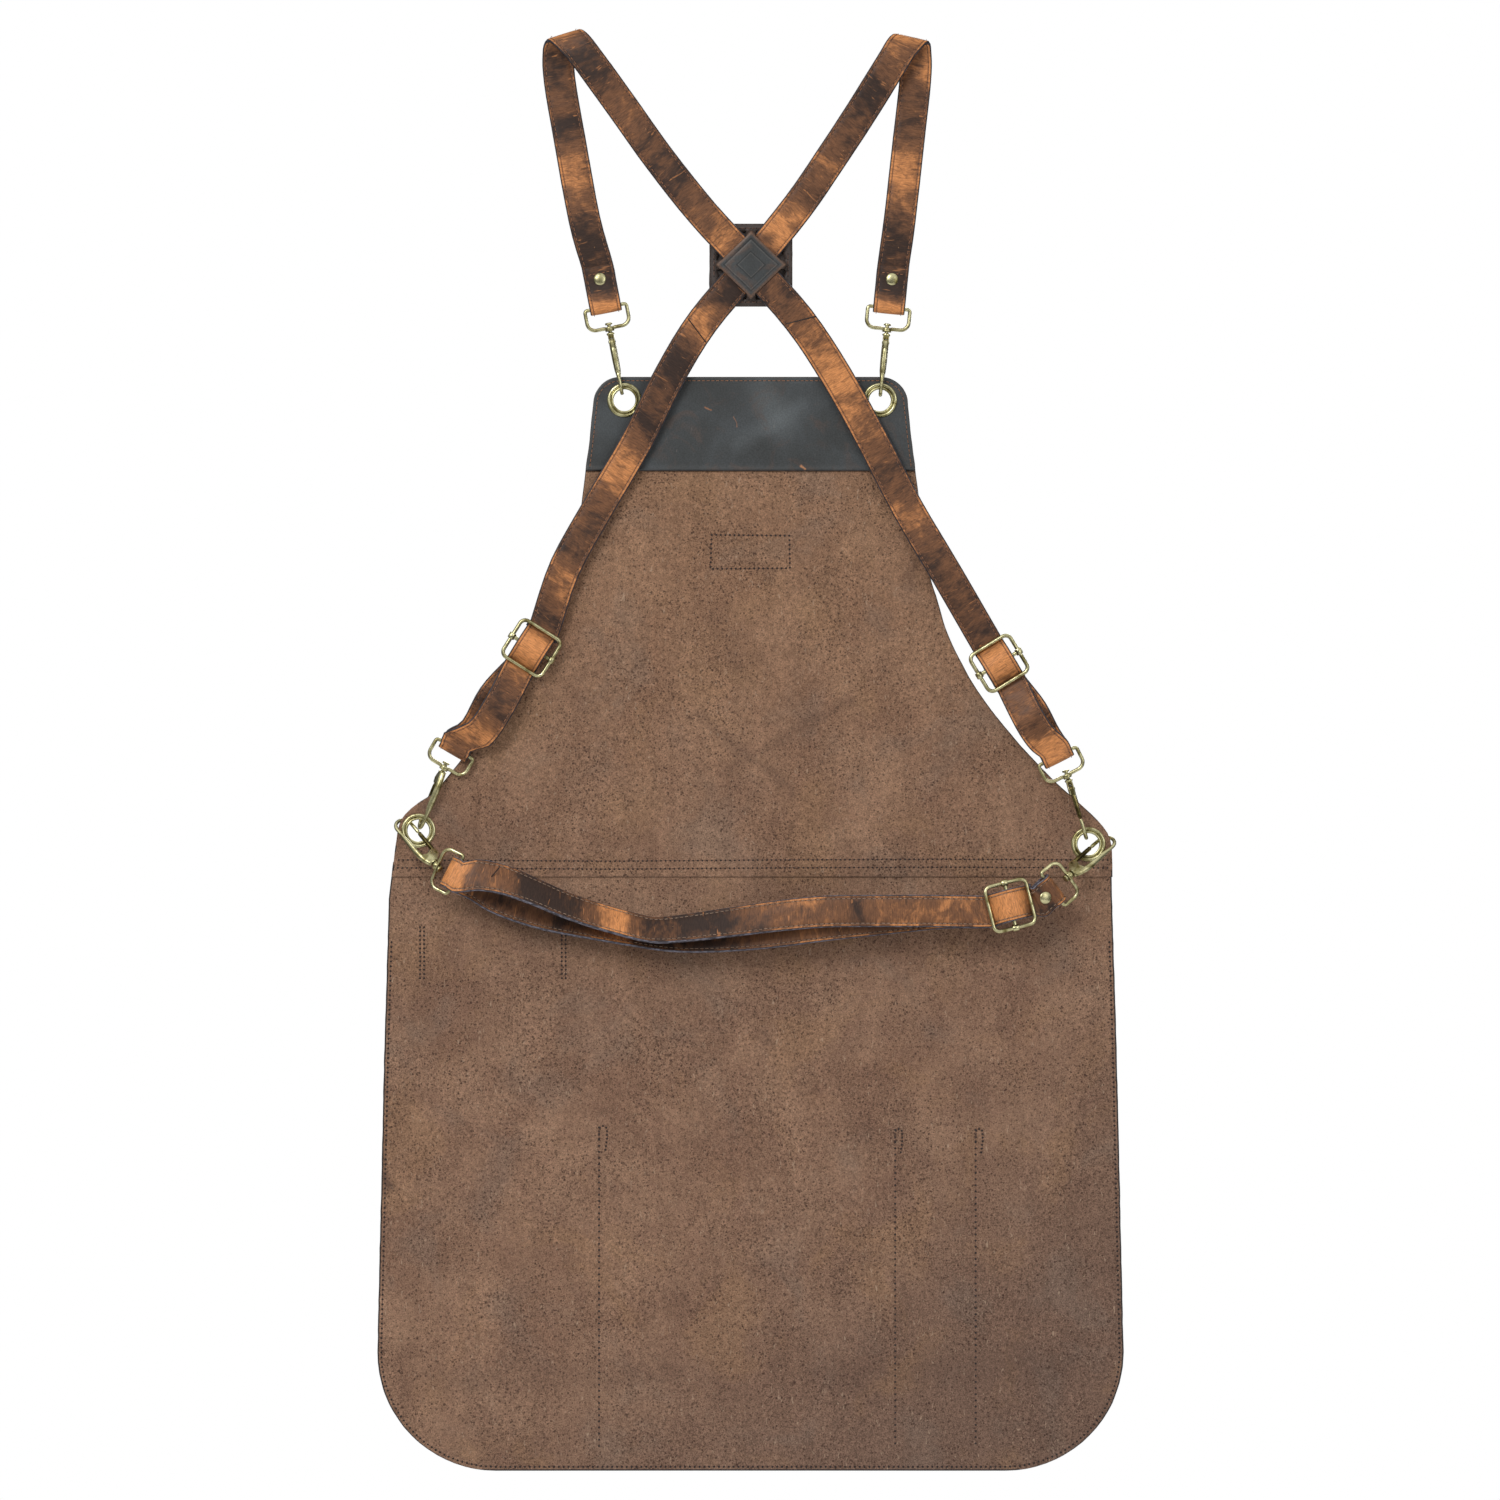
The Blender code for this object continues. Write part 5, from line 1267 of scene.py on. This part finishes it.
def hook_eye_shape():
    """The D loop that the strap folds round, with a ribbed barrel for the hook's post."""
    half_loop = [(-0.8, 3.0), (-1.1, 5.0)] + arc((-7.6, 10.5), 6.5, 0, 90, 9) + [(-12, EYE_HALF)]
    half_loop += arc((2.2 - EYE_DEPTH, EYE_HALF - 2.2), 2.2, 90, 180, 5)
    half_loop += [(-EYE_DEPTH, y) for y in (11, 8, 4)]
    loop = half_loop + [(-EYE_DEPTH, 0)] + [(x, -y) for x, y in half_loop[::-1]]
    barrel = [(BORE, -2.05), (3.3, -2.05), (3.75, -1.7), (3.8, -1.1), (3.4, -0.85), (3.4, -0.55), (3.8, -0.3),
              (3.8, 0.5), (3.4, 0.75), (3.7, 1.05), (3.6, 1.5), (3.2, 1.65), (BORE, 1.65)]
    return joined([tube([(x, y, 0) for x, y in loop], EYE_WIRE, 14),
                   moved(turned(barrel, 28), Matrix.Rotation(math.pi / 2, 4, "Y"))])


def make_hooks():
    body, gate, eye = hook_body_shape(), hook_gate_shape(), hook_eye_shape()
    half_pin = [(0, 3.0), (0.7, 2.95), (1.15, 2.7), (1.2, 2.56), (0.95, 2.5)]
    pin = turned(half_pin + [(r, -h) for r, h in half_pin[::-1]], 16, closed=False)
    pin = moved(pin, Matrix.Translation((*PIVOT, 0)))
    for name, (swivel, along, to_gate, eye_along, bar) in HOOKS.items():
        turning = basis(swivel, along, to_gate)
        gate_look = "brass" if name.startswith("bib") else "dark_brass"
        metal(f"hook_eye_{name}_wire", moved(eye, basis(swivel, eye_along, bar)), "root", f"hook_eye_{name}")
        metal(f"hook_body_{name}_cast", moved(body, turning), f"hook_{name}", f"hook_body_{name}", sharp=38)
        metal(f"gate_pin_{name}_rivet", moved(pin, turning), f"hook_{name}", f"gate_pin_{name}", "dark_brass")
        metal(f"hook_gate_{name}_bar", moved(gate, turning), f"gate_{name}", f"hook_gate_{name}", gate_look)
        spring = frame["nodes"][f"gate_spring_{name}"]
        spring.data.materials.clear()
        spring.data.materials.append(LOOKS["steel"])


# --- Studio -------------------------------------------------------------------------------


def make_floor():
    bpy.ops.mesh.primitive_plane_add(size=4.0, location=(0, 0, -1.65))
    floor = bpy.context.object
    floor.name = "floor"
    paint = bpy.data.materials.new("floor_paint")
    paint.use_nodes = True
    shader = paint.node_tree.nodes["Principled BSDF"]
    shader.inputs["Base Color"].default_value = (0.85, 0.85, 0.85, 1)
    shader.inputs["Roughness"].default_value = 0.9
    floor.data.materials.append(paint)


def make_world():
    """White for the camera, and a dimmer room, brighter above and in front, to light the apron."""
    world = bpy.data.worlds.new("studio")
    world.use_nodes = True
    bpy.context.scene.world = world
    tree = world.node_tree
    tree.nodes.clear()

    def node(kind, *values):
        made = tree.nodes.new("ShaderNode" + kind)
        for socket, value in zip(made.inputs, values):
            if isinstance(value, bpy.types.NodeSocket):
                tree.links.new(value, socket)
            else:
                socket.default_value = value
        return made

    direction = node("SeparateXYZ", node("TexCoord").outputs["Generated"]).outputs
    height = node("MapRange", direction["Z"], -1).outputs[0]
    behind = node("MapRange", direction["Y"], -0.15, 0.5, 1.1, 0.25).outputs[0]
    ramp = node("ValToRGB", height)
    elements = ramp.color_ramp.elements
    elements.remove(elements[0])
    levels = [(0.0, 0.2), (0.40, 0.13), (0.5, 0.22), (0.62, 0.58), (0.8, 0.78), (1.0, 0.85)]
    for index, (position, level) in enumerate(levels):
        element = elements[0] if index == 0 else elements.new(position)
        element.position = position
        element.color = (level, level, level, 1)
    room, backdrop = node("Background", ramp.outputs[0], behind), node("Background", (1, 1, 1, 1))
    rays = node("LightPath").outputs["Is Camera Ray"]
    node("OutputWorld", node("MixShader", rays, room.outputs[0], backdrop.outputs[0]).outputs[0])


def make_lights():
    for name, spot, aim, size, power in (("key", (-1.4, -2.6, 0.9), (0, 0, -0.5), 1.3, 50),
                                         ("fill", (1.9, -2.6, -0.3), (0, 0, -0.7), 1.8, 19),
                                         ("rear", (0.5, 3.2, 0.6), (0, 0, -0.6), 2.0, 64)):
        light = bpy.data.lights.new(name, "AREA")
        light.size = size
        light.energy = power
        lamp = bpy.data.objects.new(name, light)
        lamp.location = spot
        lamp.rotation_euler = (Vector(aim) - Vector(spot)).to_track_quat("-Z", "Y").to_euler()
        bpy.context.scene.collection.objects.link(lamp)
    bpy.context.scene.view_settings.view_transform = "Standard"
    bpy.context.scene.view_settings.look = "None"


def make_camera():
    """A long lens, square on to the panels, whose view is 1206 mm wide at them."""
    distance, width = 10.0, 1.206
    data = bpy.data.cameras.new("camera")
    data.sensor_width = 36
    data.lens = data.sensor_width * distance / width
    data.clip_end = 100
    camera = bpy.data.objects.new("camera", data)
    camera.location = (-0.0004, -distance, -0.5765)
    camera.rotation_euler = (math.pi / 2, 0, 0)
    bpy.context.scene.collection.objects.link(camera)
    bpy.context.scene.camera = camera


def main():
    make_camera()
    make_floor()
    make_world()
    make_lights()
    (bib, bib_area), (skirt, skirt_area), (facing, facing_area) = make_panels()
    panel_rows, facing_rows = make_panel_stitches()
    make_pockets()
    stitches("tool_loop_stitches", [*make_tool_loop(), make_label()], "light_thread", "grain_leather")
    make_straps()
    make_patch()
    make_grommets()
    for side in ("left", "right"):
        make_rivet(f"rivet_bib_{side}", eye_frame(f"bib_{side}"), 23, 3.3)
    make_rivet("rivet_waist", eye_frame("waist_right_lower"), 9.5, 4.0)
    for name, slider in SLIDERS.items():
        make_slider(name, slider)
    make_hooks()


main()
